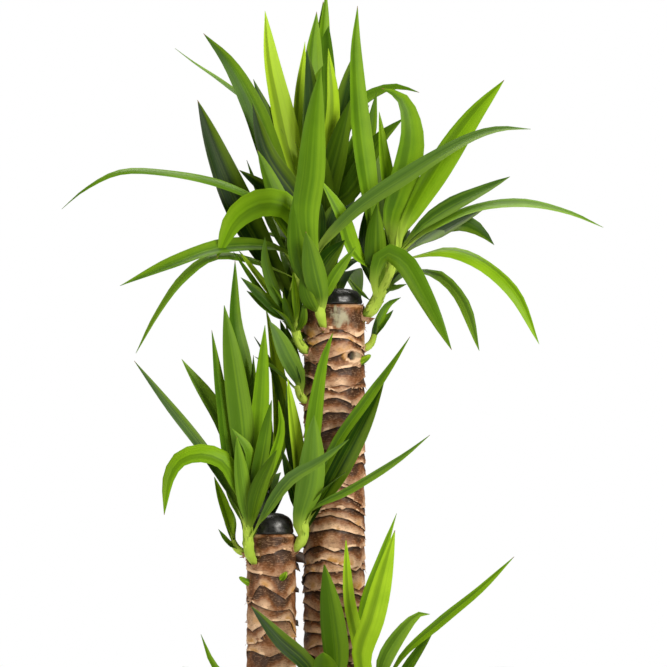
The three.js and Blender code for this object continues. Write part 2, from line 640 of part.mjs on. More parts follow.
// Assembly
const yucca = new THREE.Group();
yucca.name = 'potted_yucca';
yucca.add(piece('pot', pot(), FINISHES.pot));
yucca.add(piece('soil', soil(), FINISHES.soil));
for (const [size, spec] of Object.entries(CANES)) {
  let body = cane(spec);
  for (const [name, shoot] of Object.entries(SHOOTS)) {
    if (name.startsWith(size)) body = body.subtract(stem(shoot, GAP));
  }
  for (const budSpec of Object.values(BUDS)) {
    if (budSpec.cane === size) body = body.subtract(bud(budSpec, GAP));
  }
  yucca.add(piece(`cane_${size}`, body, FINISHES.bark));
  yucca.add(piece(`wax_cap_${size}`, waxCap(spec), FINISHES.wax));
}
for (const [name, shoot] of Object.entries(SHOOTS)) {
  yucca.add(piece(name, leafyShoot(shoot), FINISHES.leaf));
}
for (const [name, spec] of Object.entries(BUDS)) {
  yucca.add(piece(name, bud(spec, 0), FINISHES.bud));
}

export default yucca;
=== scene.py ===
"""Potted yucca: leaves, bark, wax, buds, soil, pot and stage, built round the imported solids."""

import math

import bmesh
import bpy
import numpy as np
from bpy.props import FloatProperty, FloatVectorProperty, IntProperty, PointerProperty
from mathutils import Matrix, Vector, noise


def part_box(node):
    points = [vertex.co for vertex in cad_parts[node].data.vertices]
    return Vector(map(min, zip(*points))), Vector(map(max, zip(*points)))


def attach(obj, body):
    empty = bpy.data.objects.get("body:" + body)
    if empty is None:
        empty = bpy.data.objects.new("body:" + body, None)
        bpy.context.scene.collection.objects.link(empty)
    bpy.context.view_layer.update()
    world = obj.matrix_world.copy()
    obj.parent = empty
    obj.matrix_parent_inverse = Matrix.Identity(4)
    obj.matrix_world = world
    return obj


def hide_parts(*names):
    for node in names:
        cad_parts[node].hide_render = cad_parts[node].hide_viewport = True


bl_info = {
    "name": "Potted Yucca",
    "version": (1, 0, 0),
    "blender": (4, 5, 0),
    "location": "3D View > Sidebar > Yucca",
    "description": "Finishes a three-cane yucca in its pot, from the leaf blades to the soil",
    "category": "Object",
}

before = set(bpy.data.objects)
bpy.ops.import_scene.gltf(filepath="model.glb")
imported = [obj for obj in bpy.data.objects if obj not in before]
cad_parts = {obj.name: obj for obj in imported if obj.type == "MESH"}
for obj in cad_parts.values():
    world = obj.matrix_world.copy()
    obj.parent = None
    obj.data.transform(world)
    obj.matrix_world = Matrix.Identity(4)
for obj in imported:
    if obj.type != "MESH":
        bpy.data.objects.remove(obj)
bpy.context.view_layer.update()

# Every length below is in millimetres unless its comment says otherwise
MM = 0.001
BODY = "root"

# Pot and soil, as the solids have them, with the soil's gap to the wall, the drop of its edge
# below the lip and the rings of its top
POT_LOW, POT_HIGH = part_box("pot")
POT_HEIGHT = POT_HIGH.z / MM
POT_RIM_RADIUS = POT_HIGH.x / MM
POT_FOOT_RADIUS = 86
POT_WALL = 2.6
POT_FLOOR = 4
POT_LIP_HEIGHT = 22
POT_LIP_STEP = 4.5
DRAIN_COUNT = 6
DRAIN_RADIUS = 5
DRAIN_CIRCLE_RADIUS = 58
SOIL_LEVEL = 182
SOIL_GAP = 0.6
SOIL_DROP = 3
SOIL_RINGS = 28
CANE_SEAT_HEIGHT = 60

# Canes: place of the axis, radius, height of the sawn top and of the wax on it, smooth collar
# under it, spacing of the torn lips, depth of their V-shaped dips and of their ragged edge,
# how much the lips stand out, how pale the bark is, columns of the mesh, seed of the draws
CANES = {
    "tall": dict(x=23.2, y=35, radius=36.8, top=775, wax=19, collar=30, spacing=14.5, dip=13, torn=0.12,
                 relief=0.85, pale=0.12, columns=176, seed=3),
    "medium": dict(x=-52.4, y=-10, radius=29.3, top=500, wax=24.5, collar=24, spacing=21, dip=20, torn=0.1,
                   relief=0.6, pale=0.22, columns=144, seed=11),
    "short": dict(x=45, y=-42, radius=29, top=270, wax=21, collar=16, spacing=15, dip=10, torn=0.12,
                  relief=0.7, pale=0.12, columns=128, seed=23),
}
BARK_GROOVE = 1.1
LIP_DROOP = 0.5
LEAST_FIELD = 1.3
LIP_FOLDS = 3
TOP_BAND = 9
CUT_CHAMFER = 2.5
FLAKE_THICKNESS = 0.25
LIP_THICKNESS = 0.45

# Folds of a torn lip: waver as a share of the spacing, steps of their places by fold and by
# cane, least and added reach in radians, least and added depth as shares of the dip, how many
# rise instead and how far, sharpness, share of the dip given back all round
LIP_WAVER = 0.3
FOLD_STEPS = (0.37, 0.13)
FOLD_REACH = (0.5, 0.7)
FOLD_DEPTH = (0.4, 0.9)
RISING_FOLDS = 0.35
RISING_DEPTH = -0.6
FOLD_SHARPNESS = 1.1
FOLD_RETURN = 0.12

# Wax: height of its skirt, share of the cane it covers, (outward, up) points of the skirt's
# edge, steps and roundness of the dome
WAX_FOOT = 6
WAX_COVER = 0.92
WAX_EDGE = ((0.9, 1.2), (1.1, 3.4), (0.4, WAX_FOOT))
WAX_STEPS = 13
WAX_ROUNDNESS = 0.55

# Leaf blades, as the solids have them
BLADE_BASE = 0.38
BLADE_WIDEST = 0.45
ROOT_SPREAD = 0.55
GOLDEN_ANGLE = 0.618034
STATION_STEP = 13
SHEATH_SCALES = 5
SHEATH_LENGTH = 10
RING_POINTS = 16
RIM_SHARE = 0.98
STEM_FOOT = 0.5

# Finer sizes of the blades: rise of the point that the upper faces look to, turn, twist and
# steps of a spread leaf, least and most stations, half width of the tip
CROWN_RISE = 200
SPREAD_TURN = 30
SPREAD_TWIST = 15
SPREAD_STEPS = 3
STATION_COUNTS = (12, 30)
TIP_HALF_WIDTH = 0.25

# Clasping feet: drops below the root, reach below the stem's second point, hold on the stem
# and cover of it as shares of its radius, fit of the lowest station, stations until it is free
CLASP_DROPS = (24, 15, 7)
CLASP_REACH = 12
CLASP_HOLD = 0.72
CLASP_COVER = 0.95
CLASP_FIT = 0.55
CLASP_STATIONS = 4

# Section of a blade: added channel at the foot and the share where it ends, power of the
# trough, steps of the ripple along, by leaf and across, thinness of the tip
CHANNEL = 0.62
CHANNEL_SHARE = 0.25
TROUGH_POWER = 1.35
RIPPLE_STEPS = (16.0, 40.0, 1.4)
TIP_THINNESS = 0.35

# Stems: stations, share of the solid's radius, depth and step of the rings, share of the
# length over which the foot widens
STEM_STATIONS = 26
STEM_FIT = 0.88
STEM_RING_DEPTH = 0.18
STEM_RING_STEP = 50
STEM_FOOT_SHARE = 0.35

# Photograph's frame at the plant's own plane, and the place it is seen from
PHOTO_SIDE = 800.4
CAMERA_X = 22.2
CAMERA_Z = 739.8
CAMERA_DISTANCE = 5000
SENSOR_WIDTH = 36

UP = np.array([0.0, 0.0, 1.0])
INTO_VIEW = np.array([0.0, 1.0, 0.0])
EYE = np.array([CAMERA_X, -CAMERA_DISTANCE, CAMERA_Z])

# Leaf tones: age from young lime to old dark green, and share of blue-grey bloom. The darkest, dark, goes
# past an old leaf's green towards black: partly an old leaf's own colour, partly painted shade for leaves
# deep in a crown.
TONES = {
    "lime": (0.0, 0.0),
    "fresh": (0.3, 0.0),
    "pale": (0.38, 0.6),
    "green": (0.43, 0.05),
    "mid": (0.56, 0.1),
    "blue": (0.62, 0.85),
    "dusk": (0.75, 0.4),
    "deep": (0.82, 0.08),
    "dark": (1.0, 0.05),
}

# Leafy shoots. The stem runs through three-dimensional points and tapers between two radii.
# A leaf row is (tone, blade width, turn, twist, depth of the tip, height of the root on the
# stem, (x, z) points after the root, the last one the tip). The points say where the blade
# shows on the plane y = 0, and seen_at sets each of them along its line of sight. Turn 0 shows
# the whole blade to the front; a positive turn brings its left edge forward. Twist adds to the
# turn towards the tip. The spread rows are leaves set round the stem by the golden angle:
# count, azimuths, lowest and highest rise, bend, length, width, start of the spiral, tones
# taken in turn.
SHOOTS = {
    "tall_shoot_back": dict(
        stem=((24, 62, 726), (23, 84, 764), (17, 82, 820), (12, 74, 890)),
        radii=(10, 6),
        leaves=(
            ("lime", 31, 25, 10, 95, 870, ((-22, 936), (-43, 1020), (-53, 1068), (-60, 1127))),
            ("mid", 31, 15, 0, 60, 852, ((-36, 912), (-74, 1009), (-104, 1065), (-134, 1100))),
            ("mid", 15, 60, 0, 130, 858,
             ((-6, 900), (-47, 986), (-110, 1040), (-146, 1065), (-168, 1082))),
            ("deep", 26, 25, 0, 84, 846, ((-26, 906), (-47, 972), (-74, 1045))),
            ("dark", 28, 20, 0, 45, 834, ((-14, 890), (-57, 954), (-75, 1016))),
            ("lime", 22, 40, 0, 110, 876, ((-18, 972), (-20, 1008), (-12, 1090))),
            ("deep", 26, 20, 0, 85, 870, ((-4, 972), (-5, 1032), (-10, 1082))),
            ("fresh", 36, 25, 0, 130, 876, ((5, 960), (-3, 1052), (2, 1126))),
            ("green", 28, 30, 0, 150, 878, ((13, 996), (9, 1050), (13.5, 1152))),
            ("lime", 23, 35, 0, 66, 874, ((20, 960), (23, 1020), (16, 1082))),
            ("dark", 30, 10, 0, 50, 852, ((16, 912), (27, 960), (42, 1020))),
            ("dark", 27, 10, 10, 60, 846, ((18, 890), (42, 912), (75, 970), (106, 998))),
            ("mid", 20, 30, 0, 125, 870,
             ((24, 942), (48, 1010), (73, 1029), (98, 1036), (125, 1029))),
            ("deep", 22, 25, 0, 100, 862, ((36, 920), (64, 972), (74, 1030))),
            ("mid", 16, 40, 0, 110, 864, ((30, 924), (65, 1014))),
        ),
        spread=((8, 72, 104, 25, 80, 50, 290, 32, 0.3, ("deep", "mid", "dark")),
                (8, 100, 300, 40, 75, 40, 105, 24, 0.1, ("dark", "deep"))),
    ),
    "tall_shoot_right": dict(
        stem=((56, 26, 756), (70, 20, 772), (82, 16, 798), (101, 10, 842)),
        radii=(10.5, 7),
        leaves=(
            ("green", 28, 30, 0, -5, 799, ((64, 912), (54, 990), (48.5, 1080), (51, 1133))),
            ("fresh", 19, 30, 0, 18, 826, ((90, 897), (82, 960), (77, 1006))),
            ("green", 34, 10, 20, 0, 830, ((91, 874), (105, 918), (116, 980), (104, 1022), (80, 1034))),
            ("fresh", 31, -10, 0, -20, 838, ((108, 866), (153, 946), (190, 1001), (227, 1044))),
            ("dusk", 25, -42, 0, 10, 835, ((127, 867), (158, 889), (201, 911), (234, 928))),
            ("mid", 22, -60, 0, -10, 833, ((132, 860), (187, 887), (246, 895), (305, 884), (346, 867))),
            ("dark", 20, -50, 0, 60, 830, ((119, 844), (156, 863), (213, 897))),
            ("deep", 32, -38, 10, 70, 828, ((150, 867), (176, 872), (197, 863), (215, 846))),
            ("fresh", 24, -45, 30, -35, 826, ((120, 833), (161, 839), (198, 826), (239, 790), (269, 727))),
            ("mid", 25, 10, 0, -50, 780, ((73, 811), (84, 836), (105, 827), (130, 787), (164, 720))),
            ("pale", 23, -50, 30, 40, 816, ((128, 813), (149, 807), (175, 779), (197, 719))),
            ("dark", 27, 10, 0, -10, 785, ((73, 840), (74, 895))),
            ("fresh", 20, 20, 0, -15, 806, ((48, 838), (32, 882), (7, 924))),
            ("dark", 20, 15, 0, 40, 785, ((61, 836), (61, 892))),
            ("deep", 9, 50, 0, 8, 790, ((96, 794), (110, 799))),
            ("dark", 6, 40, 0, 0, 776, ((50, 794), (41, 805))),
        ),
        spread=((4, 68, 100, 20, 60, 45, 230, 30, 0.1, ("mid", "deep")),
                (6, 45, 98, 30, 75, 30, 75, 20, 0.4, ("deep", "dark"))),
    ),
    "tall_shoot_front": dict(
        stem=((12, 4, 742), (6, -10, 766), (2, -20, 800), (0, -22, 838)),
        radii=(8, 6),
        leaves=(
            ("mid", 34, 0, 0, -70, 792, ((-11, 882), (-5, 930), (0, 1000), (7, 1058))),
            ("blue", 25, -40, -20, -45, 810,
             ((4, 834), (42, 881), (116, 932), (189, 975), (223, 985), (259, 985))),
            ("dusk", 28, 5, 0, -60, 766, ((7, 780), (0, 810), (-11, 862))),
            ("deep", 25, 5, 0, -50, 780, ((-4, 792), (-18, 828), (-25, 907))),
            ("green", 15, -20, 0, -50, 773, ((21, 803), (49, 844))),
            ("dark", 26, -20, 0, -25, 785, ((8, 816), (36, 852))),
            ("dark", 20, 10, 0, -42, 762, ((-8, 784), (-15, 816))),
        ),
        spread=((2, 60, 95, 50, 70, 30, 95, 26, 0.2, ("dark",)),
                (5, 40, 140, 30, 75, 30, 100, 22, 0.4, ("dark", "deep"))),
    ),
    "tall_shoot_left": dict(
        stem=((-6, 44, 738), (-24, 46, 762), (-24, 42, 795), (-12, 38, 832)),
        radii=(9, 6),
        leaves=(
            ("dark", 39, 20, 0, 70, 766, ((-37, 792), (-86, 881), (-115, 948), (-141, 1020))),
            ("mid", 19, 60, 0, 20, 826,
             ((-54, 889), (-108, 919), (-180, 934), (-236, 934), (-278, 912), (-304, 889))),
            ("dark", 24, 22, 0, 44, 830, ((-28, 886), (-54, 909), (-91, 936))),
            ("fresh", 35, 10, -10, 10, 834, ((-30, 890), (-62, 898), (-95, 879), (-118, 830))),
            ("mid", 25, 45, 0, 0, 818, ((-42, 840), (-108, 844), (-171, 824), (-234, 797))),
            ("pale", 19, 55, 0, 15, 806,
             ((-68, 826), (-121, 834), (-160, 807), (-191, 763), (-215, 716))),
            ("green", 27, 30, 0, 30, 830, ((-38, 883), (-69, 960))),
            ("pale", 17, 60, 0, 60, 814, ((-48, 858), (-66, 900), (-82, 948))),
            ("lime", 16, 35, 0, 30, 826, ((-34, 866), (-63, 897))),
        ),
        spread=((4, 90, 104, 25, 50, 35, 190, 29, 0.6, ("deep", "mid")),
                (7, 60, 122, 30, 75, 30, 90, 22, 0.2, ("dark", "deep"))),
    ),
    "tall_shoot_low_left": dict(
        stem=((-5, 22, 714), (-18, 12, 727), (-27, 5, 758)),
        radii=(7.5, 5),
        leaves=(
            ("blue", 15, 20, 0, -5, 754, ((-42, 776), (-59, 826), (-60, 856))),
            ("deep", 12, 15, 0, -10, 744, ((-28, 750), (-38, 786))),
            ("deep", 15, 25, 0, 5, 749, ((-45, 767), (-89, 807))),
            ("mid", 11, 50, 0, 15, 754, ((-61, 785), (-98, 838))),
            ("mid", 14, 30, 0, 10, 749, ((-38, 757), (-82, 791))),
            ("fresh", 10, 20, 0, -15, 749, ((-22, 762), (-26, 814))),
            ("lime", 11, 40, 0, 20, 756, ((-56, 792), (-92, 840))),
            ("dark", 10, 10, 0, -25, 742, ((-14, 756), (-13, 780))),
        ),
        spread=((2, 205, 250, 50, 70, 30, 60, 14, 0.4, ("deep",)),
                (8, 60, 125, 30, 75, 30, 50, 13, 0.2, ("dark", "deep", "mid"))),
    ),
    "tall_shoot_side_left": dict(
        stem=((-6, 26, 654), (-17, 18, 664), (-22, 14, 678)),
        radii=(7, 4.5),
        leaves=(
            ("blue", 24, 20, 0, 0, 665, ((-22, 690), (-33, 712), (-45, 738), (-55, 755))),
            ("deep", 19, 40, 0, 22, 670, ((-25, 694), (-42, 756))),
            ("dark", 8, 30, 0, 8, 667, ((-15, 678), (-25, 718))),
            ("mid", 14, 40, 0, 26, 672, ((-19, 684), (-35, 750))),
        ),
        spread=((1, 140, 230, 30, 60, 20, 80, 16, 0.5, ("deep",)),),
    ),
    "tall_shoot_side_right": dict(
        stem=((54, 37, 718), (67, 39, 727), (72, 40, 739)),
        radii=(6, 4),
        leaves=(
            ("mid", 11, 20, 0, 60, 727, ((74, 747), (88, 774), (103, 783))),
            ("deep", 8, 30, 0, 48, 730, ((72, 742), (74, 758))),
        ),
        spread=((1, 20, 80, 40, 60, 20, 50, 10, 0.5, ("mid",)),),
    ),
    "medium_shoot_left": dict(
        stem=((-70, -28, 462), (-78, -42, 480), (-80, -46, 520), (-83, -48, 590)),
        radii=(8, 6),
        leaves=(
            ("pale", 19, 5, 0, -75, 498, ((-80, 510), (-84, 540), (-94, 616))),
            ("dusk", 30, 10, 0, -60, 528, ((-86, 612), (-95, 684), (-109, 774))),
            ("mid", 24, 35, 0, -20, 552, ((-86, 697), (-96, 752), (-96, 828))),
            ("mid", 19, 40, 0, -55, 522, ((-105, 594), (-113, 660), (-124, 744))),
            ("pale", 23, 30, 0, -30, 552, ((-110, 630), (-160, 709))),
            ("dusk", 15, 25, 0, -50, 504, ((-94, 534), (-128, 592), (-180, 659), (-217, 707))),
            ("fresh", 23, 20, 0, -80, 516,
             ((-92, 552), (-108, 587), (-137, 597), (-163, 589), (-176, 567), (-181, 522))),
            ("dark", 21, 30, 0, -15, 552, ((-78, 612), (-106, 654))),
            ("mid", 19, 50, 0, -30, 546, ((-76, 612), (-74, 714))),
            ("green", 23, 20, 0, -50, 516, ((-74, 552), (-65, 648), (-60, 750))),
            ("deep", 19, 20, 0, -70, 516, ((-71, 552), (-52, 660))),
            ("dark", 21, 10, 0, -85, 502, ((-68, 552), (-46, 600))),
            ("blue", 17, -30, 0, -104, 494, ((-64, 516), (-30, 564), (6, 586), (41, 613))),
            ("mid", 14, 30, 0, -65, 540, ((-78, 576), (-80, 600), (-100, 626))),
            ("fresh", 16, 40, 0, -45, 522, ((-63, 558), (-41, 624), (-44, 660))),
        ),
        spread=((3, 80, 110, 55, 72, 25, 190, 28, 0.7, ("deep", "mid")),
                (6, 60, 130, 45, 80, 20, 100, 20, 0.2, ("dark", "deep"))),
    ),
    "medium_shoot_far_left": dict(
        stem=((-80, -6, 474), (-93, -8, 482), (-99, -10, 492)),
        radii=(6, 4.5),
        leaves=(
            ("fresh", 13, 20, 0, -5, 485, ((-102, 510), (-121, 568))),
            ("pale", 14, 40, 0, 5, 490, ((-100, 510), (-112, 546))),
            ("mid", 9, 50, 0, -25, 480, ((-107, 492), (-116, 505))),
        ),
        spread=((1, 100, 140, 40, 60, 20, 60, 13, 0.2, ("mid",)),),
    ),
    "medium_shoot_back": dict(
        stem=((-56, 12, 466), (-64, 26, 492), (-64, 26, 552)),
        radii=(8, 5.5),
        leaves=(
            ("mid", 14, 40, 0, 66, 540, ((-39, 612), (-51, 697), (-73, 736))),
            ("lime", 21, 25, 0, 88, 546, ((-45, 600), (-42, 660), (-52, 738), (-59, 769))),
        ),
        spread=((6, 82, 104, 25, 75, 45, 190, 30, 0.5, ("deep", "mid", "dark")),
                (6, 60, 130, 50, 80, 20, 100, 20, 0.1, ("dark", "deep"))),
    ),
    "medium_shoot_right": dict(
        stem=((-30, -16, 476), (-15, -22, 494), (-14, -27, 520), (-17, -30, 546)),
        radii=(8, 6),
        leaves=(
            ("blue", 33, 5, 0, -65, 499, ((-18, 510), (-5, 564), (-1, 642))),
            ("green", 22, 30, 0, -35, 516, ((0, 636), (11, 708), (22, 742))),
            ("green", 17, -40, 0, -45, 522, ((25, 605), (64, 661), (92, 701), (114, 736))),
            ("dark", 30, -15, 0, -40, 509, ((8, 540), (44, 606), (83, 682))),
            ("pale", 11, -30, 0, -75, 504, ((-4, 527), (43, 552), (103, 590), (138, 618))),
            ("lime", 18, 30, 0, -20, 518, ((-20, 588), (-33, 686))),
            ("blue", 15, 45, 0, -5, 516, ((-24, 570), (-32, 612), (-34, 678))),
            ("dark", 14, 20, 0, -30, 508, ((-25, 545), (-40, 602))),
        ),
        spread=((1, -35, -15, 50, 60, 30, 85, 22, 0.4, ("dark",)),
                (4, 40, 110, 50, 80, 20, 90, 18, 0.3, ("dark", "deep"))),
    ),
    "short_shoot_left": dict(
        stem=((27, -59, 244), (17, -71, 262), (14, -75, 290), (17, -76, 314)),
        radii=(8.5, 6),
        leaves=(
            ("dark", 23, 25, 0, -95, 300, ((-8, 340), (-42, 372), (-77, 413))),
            ("mid", 16, 50, 0, -70, 293, ((-42, 294), (-90, 312), (-121, 340), (-137, 379))),
            ("deep", 31, 5, 0, -110, 300, ((26, 340), (22, 390), (11, 464))),
        ),
        spread=((7, 175, 290, 0, 26, 35, 200, 30, 0.1, ("mid", "deep", "fresh")),),
    ),
    "short_shoot_right": dict(
        stem=((66, -40, 244), (82, -46, 262), (82, -50, 290), (76, -52, 314)),
        radii=(8.5, 6),
        leaves=(
            ("lime", 29, 15, 0, -85, 298, ((57, 348), (72, 402), (96, 504))),
            ("pale", 20, -20, 0, -60, 300, ((81, 338), (105, 382), (126, 403), (138, 403))),
            ("fresh", 14, -40, 40, -85, 305, ((102, 348), (151, 393), (198, 432), (239, 472))),
            ("mid", 14, -30, 0, -40, 300, ((109, 335), (144, 387))),
        ),
        spread=((6, -100, -5, -8, 18, 30, 190, 30, 0.8, ("mid", "fresh", "deep")),),
    ),
    "short_shoot_back": dict(
        stem=((53, -24, 242), (61, -7, 262), (61, -6, 304)),
        radii=(6.5, 5),
        leaves=(
            ("lime", 18, 30, 0, -40, 296, ((52, 372), (42, 420), (37, 494))),
            ("fresh", 17, 35, 0, -30, 292, ((60, 407), (81, 473), (98, 524))),
        ),
        spread=((4, 10, 70, -5, 16, 25, 170, 28, 0.3, ("deep", "mid")),),
    ),
}

# Buds that break through the bark: cane, azimuth in degrees, height, size
BUDS = {
    "bud_tall_right": ("tall", -24, 706, 5.2),
    "bud_medium_right": ("medium", -62, 448, 4.5),
    "bud_medium_left": ("medium", -160, 441, 4.5),
}

# Shreds of old leaf feet, coloured near-black as painted shade for the shadow between the canes: cane,
# azimuth in degrees, height, length, width
SHREDS = (
    ("medium", 22, 493, 15, 12),
    ("medium", 14, 474, 16, 15),
    ("medium", 28, 462, 12, 10),
    ("medium", 16, 434, 7, 10),
    ("medium", 10, 393, 6, 9),
    ("tall", 194, 512, 6, 12),
    ("tall", 198, 486, 6, 14),
    ("tall", 196, 440, 5, 14),
)


# Settings

def colour_setting(name, description, value):
    """Colour that a user can change, from its red, green and blue."""
    return FloatVectorProperty(
        name=name, description=description, subtype="COLOR", size=4, default=(*value, 1),
        min=0, max=1)


class YuccaLeafSettings(bpy.types.PropertyGroup):
    """Sizes and greens of the leaves"""
    thickness: FloatProperty(
        name="Blade thickness", description="Thickness of a blade at its midrib",
        default=0.0012, min=0.0004, max=0.003, unit="LENGTH")
    trough: FloatProperty(
        name="Trough", description="Lift of the margins as a share of half the blade's width",
        default=0.2, min=0.0, max=0.6, subtype="FACTOR")
    ripple: FloatProperty(
        name="Margin ripple", description="Wave of the margins as a share of half the width",
        default=0.05, min=0.0, max=0.3, subtype="FACTOR")
    lime: colour_setting("Young leaf", "Lime of a young leaf", (0.42, 0.64, 0.025))
    fresh: colour_setting("Fresh leaf", "Green of a leaf in its first season", (0.175, 0.345, 0.005))
    mid: colour_setting("Full-grown leaf", "Green of a full-grown leaf", (0.07, 0.168, 0.004))
    deep: colour_setting("Old leaf", "Green of an old leaf", (0.016, 0.058, 0.001))
    bloom: colour_setting("Bloom", "Blue-grey bloom on old leaves", (0.11, 0.2, 0.045))
    base: colour_setting("Clasping base", "Pale lime of the blade's foot", (0.5, 0.66, 0.09))


class YuccaBarkSettings(bpy.types.PropertyGroup):
    """Sizes and browns of the bark"""
    flake_length: FloatProperty(
        name="Flake length", description="Length of a papery flake on a lip of the bark",
        default=0.0038, min=0.001, max=0.02, unit="LENGTH")
    flake_spacing: FloatProperty(
        name="Flake spacing", description="Distance between flakes along a lip",
        default=0.0032, min=0.001, max=0.05, unit="LENGTH")
    brown: colour_setting("Bark", "Brown of the bark between the rings", (0.23, 0.082, 0.024))
    paper: colour_setting("Papery lip", "Pale tan of the torn lips", (0.86, 0.57, 0.36))
    fibre: colour_setting("Fibre", "Golden orange of the bare fibres", (0.5, 0.23, 0.035))
    # Partly painted shade: this dark brown darkens the grooves, the tops of the fields under each lip, the
    # eye's hole and the shreds; it also tints the bark's darkest tone and grain lines
    crevice_shade: colour_setting("Crevice", "Dark brown of the grooves", (0.017, 0.0065, 0.002))


class YuccaPotSettings(bpy.types.PropertyGroup):
    """Look of the pot, the soil and the wax"""
    pot: colour_setting("Pot", "Moulded plastic of the pot", (0.03, 0.03, 0.032))
    soil: colour_setting("Soil", "Damp potting soil", (0.035, 0.02, 0.012))
    wax: colour_setting("Wax", "Black wax on the sawn tops", (0.008, 0.008, 0.007))
    crumb: FloatProperty(
        name="Crumb size", description="Radius of a soil crumb", default=0.0032,
        min=0.001, max=0.01, unit="LENGTH")
    crumbs: IntProperty(
        name="Crumb density", description="Crumbs on a square metre of soil", default=60000,
        min=1000, max=120000)


class YuccaStageSettings(bpy.types.PropertyGroup):
    """Light round the plant"""
    key: FloatProperty(
        name="Key light", description="Power of the soft light at the front right",
        default=118, min=0, max=500, unit="POWER")
    fill: FloatProperty(
        name="Fill light", description="Power of the soft light at the left", default=38,
        min=0, max=500, unit="POWER")
    top: FloatProperty(
        name="Top light", description="Power of the soft light above and behind", default=64,
        min=0, max=500, unit="POWER")
    surround: FloatProperty(
        name="Surround", description="Strength of the white surround's light", default=0.1,
        min=0, max=2, subtype="FACTOR")


# Numbers and curves

# Steps and scale of the sine hash, steps of the noise by seed, samples of a curve
HASH_STEPS = (12.9898, 78.233)
HASH_SCALE = 43758.5453
NOISE_STEPS = (17.3, 5.1, 9.7)
LENGTH_SAMPLES = 120
RUN_SAMPLES = 240
STEM_SAMPLES = 61


def draw(index, seed):
    """Repeatable value from 0 to 1 for a number and a seed."""
    wave = math.sin(index * HASH_STEPS[0] + seed * HASH_STEPS[1]) * HASH_SCALE
    return wave - math.floor(wave)


def lerp(low, high, share):
    return low + (high - low) * share


def smooth(low, high, value):
    """0 below low, 1 above high, eased between."""
    share = np.clip((value - low) / (high - low), 0, 1)
    return share * share * (3 - 2 * share)


def blend(first, second, share):
    """Colour between two colours."""
    return tuple(lerp(a, b, share) for a, b in zip(first, second))


def unit(vectors):
    return vectors / np.maximum(np.linalg.norm(vectors, axis=-1, keepdims=True), 1e-9)


def level_way(turn):
    """Level direction at an angle in radians from the X axis."""
    return np.array([math.cos(turn), math.sin(turn), 0.0])


def rough(points, size, seed):
    """Smooth noise from about -1 to 1 at each point, with bumps of the given size."""
    shift = Vector([seed * step for step in NOISE_STEPS])
    return np.array([noise.noise(Vector(point) / size + shift) for point in points])


def catmull_rom(points, samples):
    """Centripetal Catmull-Rom curve through the points, first to last."""
    points = np.asarray(points, float)
    full = np.vstack([2 * points[0] - points[1], points, 2 * points[-1] - points[-2]])
    place = np.linspace(0, len(points) - 1, samples)
    span = np.minimum(place.astype(int), len(points) - 2)
    weight = (place - span)[:, None]
    p0, p1, p2, p3 = (full[span + k] for k in range(4))
    d0, d1, d2 = (np.linalg.norm(b - a, axis=1)[:, None] ** 0.5
                  for a, b in ((p0, p1), (p1, p2), (p2, p3)))
    first = ((p1 - p0) / d0 - (p2 - p0) / (d0 + d1) + (p2 - p1) / d1) * d1
    last = ((p2 - p1) / d1 - (p3 - p1) / (d1 + d2) + (p3 - p2) / d2) * d1
    square = -3 * p1 + 3 * p2 - 2 * first - last
    cube = 2 * p1 - 2 * p2 + first + last
    return p1 + weight * (first + weight * (square + weight * cube))


def curve_length(points):
    return np.linalg.norm(np.diff(catmull_rom(points, LENGTH_SAMPLES), axis=0), axis=1).sum()


def along_curve(points, shares):
    """Places and directions at shares of the length of the curve through the points."""
    dense = catmull_rom(points, RUN_SAMPLES)
    steps = np.linalg.norm(np.diff(dense, axis=0), axis=1)
    run = np.concatenate([[0], np.cumsum(steps)])
    slope = np.gradient(dense, axis=0)
    at, way = (np.stack([np.interp(shares * run[-1], run, rows[:, k]) for k in range(3)], 1)
               for rows in (dense, slope))
    return at, unit(way)


# Meshes

def write_attribute(mesh, name, values):
    """Stores a number or a vector for each vertex."""
    values = np.asarray(values, np.float32)
    if values.ndim == 2:
        mesh.attributes.new(name, "FLOAT_VECTOR", "POINT").data.foreach_set("vector", values.ravel())
    else:
        mesh.attributes.new(name, "FLOAT", "POINT").data.foreach_set("value", values)


def new_piece(name, vertices, edges, faces, attributes=None):
    """Object at the origin with a mesh given in millimetres."""
    mesh = bpy.data.meshes.new(name)
    mesh.from_pydata((np.asarray(vertices) * MM).tolist(), edges, faces)
    for key, values in (attributes or {}).items():
        write_attribute(mesh, key, values)
    piece = bpy.data.objects.new(name, mesh)
    bpy.context.scene.collection.objects.link(piece)
    return piece


def point_outwards(mesh):
    """Turns the faces of every closed shell outwards."""
    work = bmesh.new()
    work.from_mesh(mesh)
    bmesh.ops.recalc_face_normals(work, faces=work.faces)
    work.to_mesh(mesh)
    work.free()


def settle(piece, keep=()):
    """Makes the modifiers' result the piece's own plain mesh and keeps the named attributes."""
    bpy.context.view_layer.update()
    graph = bpy.context.evaluated_depsgraph_get()
    made = bpy.data.meshes.new_from_object(
        piece.evaluated_get(graph), preserve_all_data_layers=True, depsgraph=graph)
    old = piece.data
    piece.modifiers.clear()
    piece.data = made
    bpy.data.meshes.remove(old)
    made.name = piece.name
    for name in [a.name for a in made.attributes]:
        spare = made.attributes.get(name)
        if spare and not spare.is_internal and not spare.is_required and name not in keep:
            if name not in ("sharp_face", "sharp_edge", "material_index", "UVMap"):
                made.attributes.remove(spare)
    point_outwards(made)
    return piece


def smooth_faces(mesh, sharp):
    """Smooth shading with edges kept sharp past an angle in degrees."""
    mesh.shade_smooth()
    mesh.set_sharp_from_angle(angle=math.radians(sharp))


def ring_faces(rings, segments):
    """Faces of a stack of rings, closed by one vertex below and one above that follow them."""
    foot, head = rings * segments, rings * segments + 1
    last = foot - segments
    faces = []
    for k in range(segments):
        nxt = (k + 1) % segments
        faces.append((foot, nxt, k))
        faces.append((head, last + k, last + nxt))
        for a in range(0, last, segments):
            faces.append((a + k, a + nxt, a + segments + nxt, a + segments + k))
    return faces


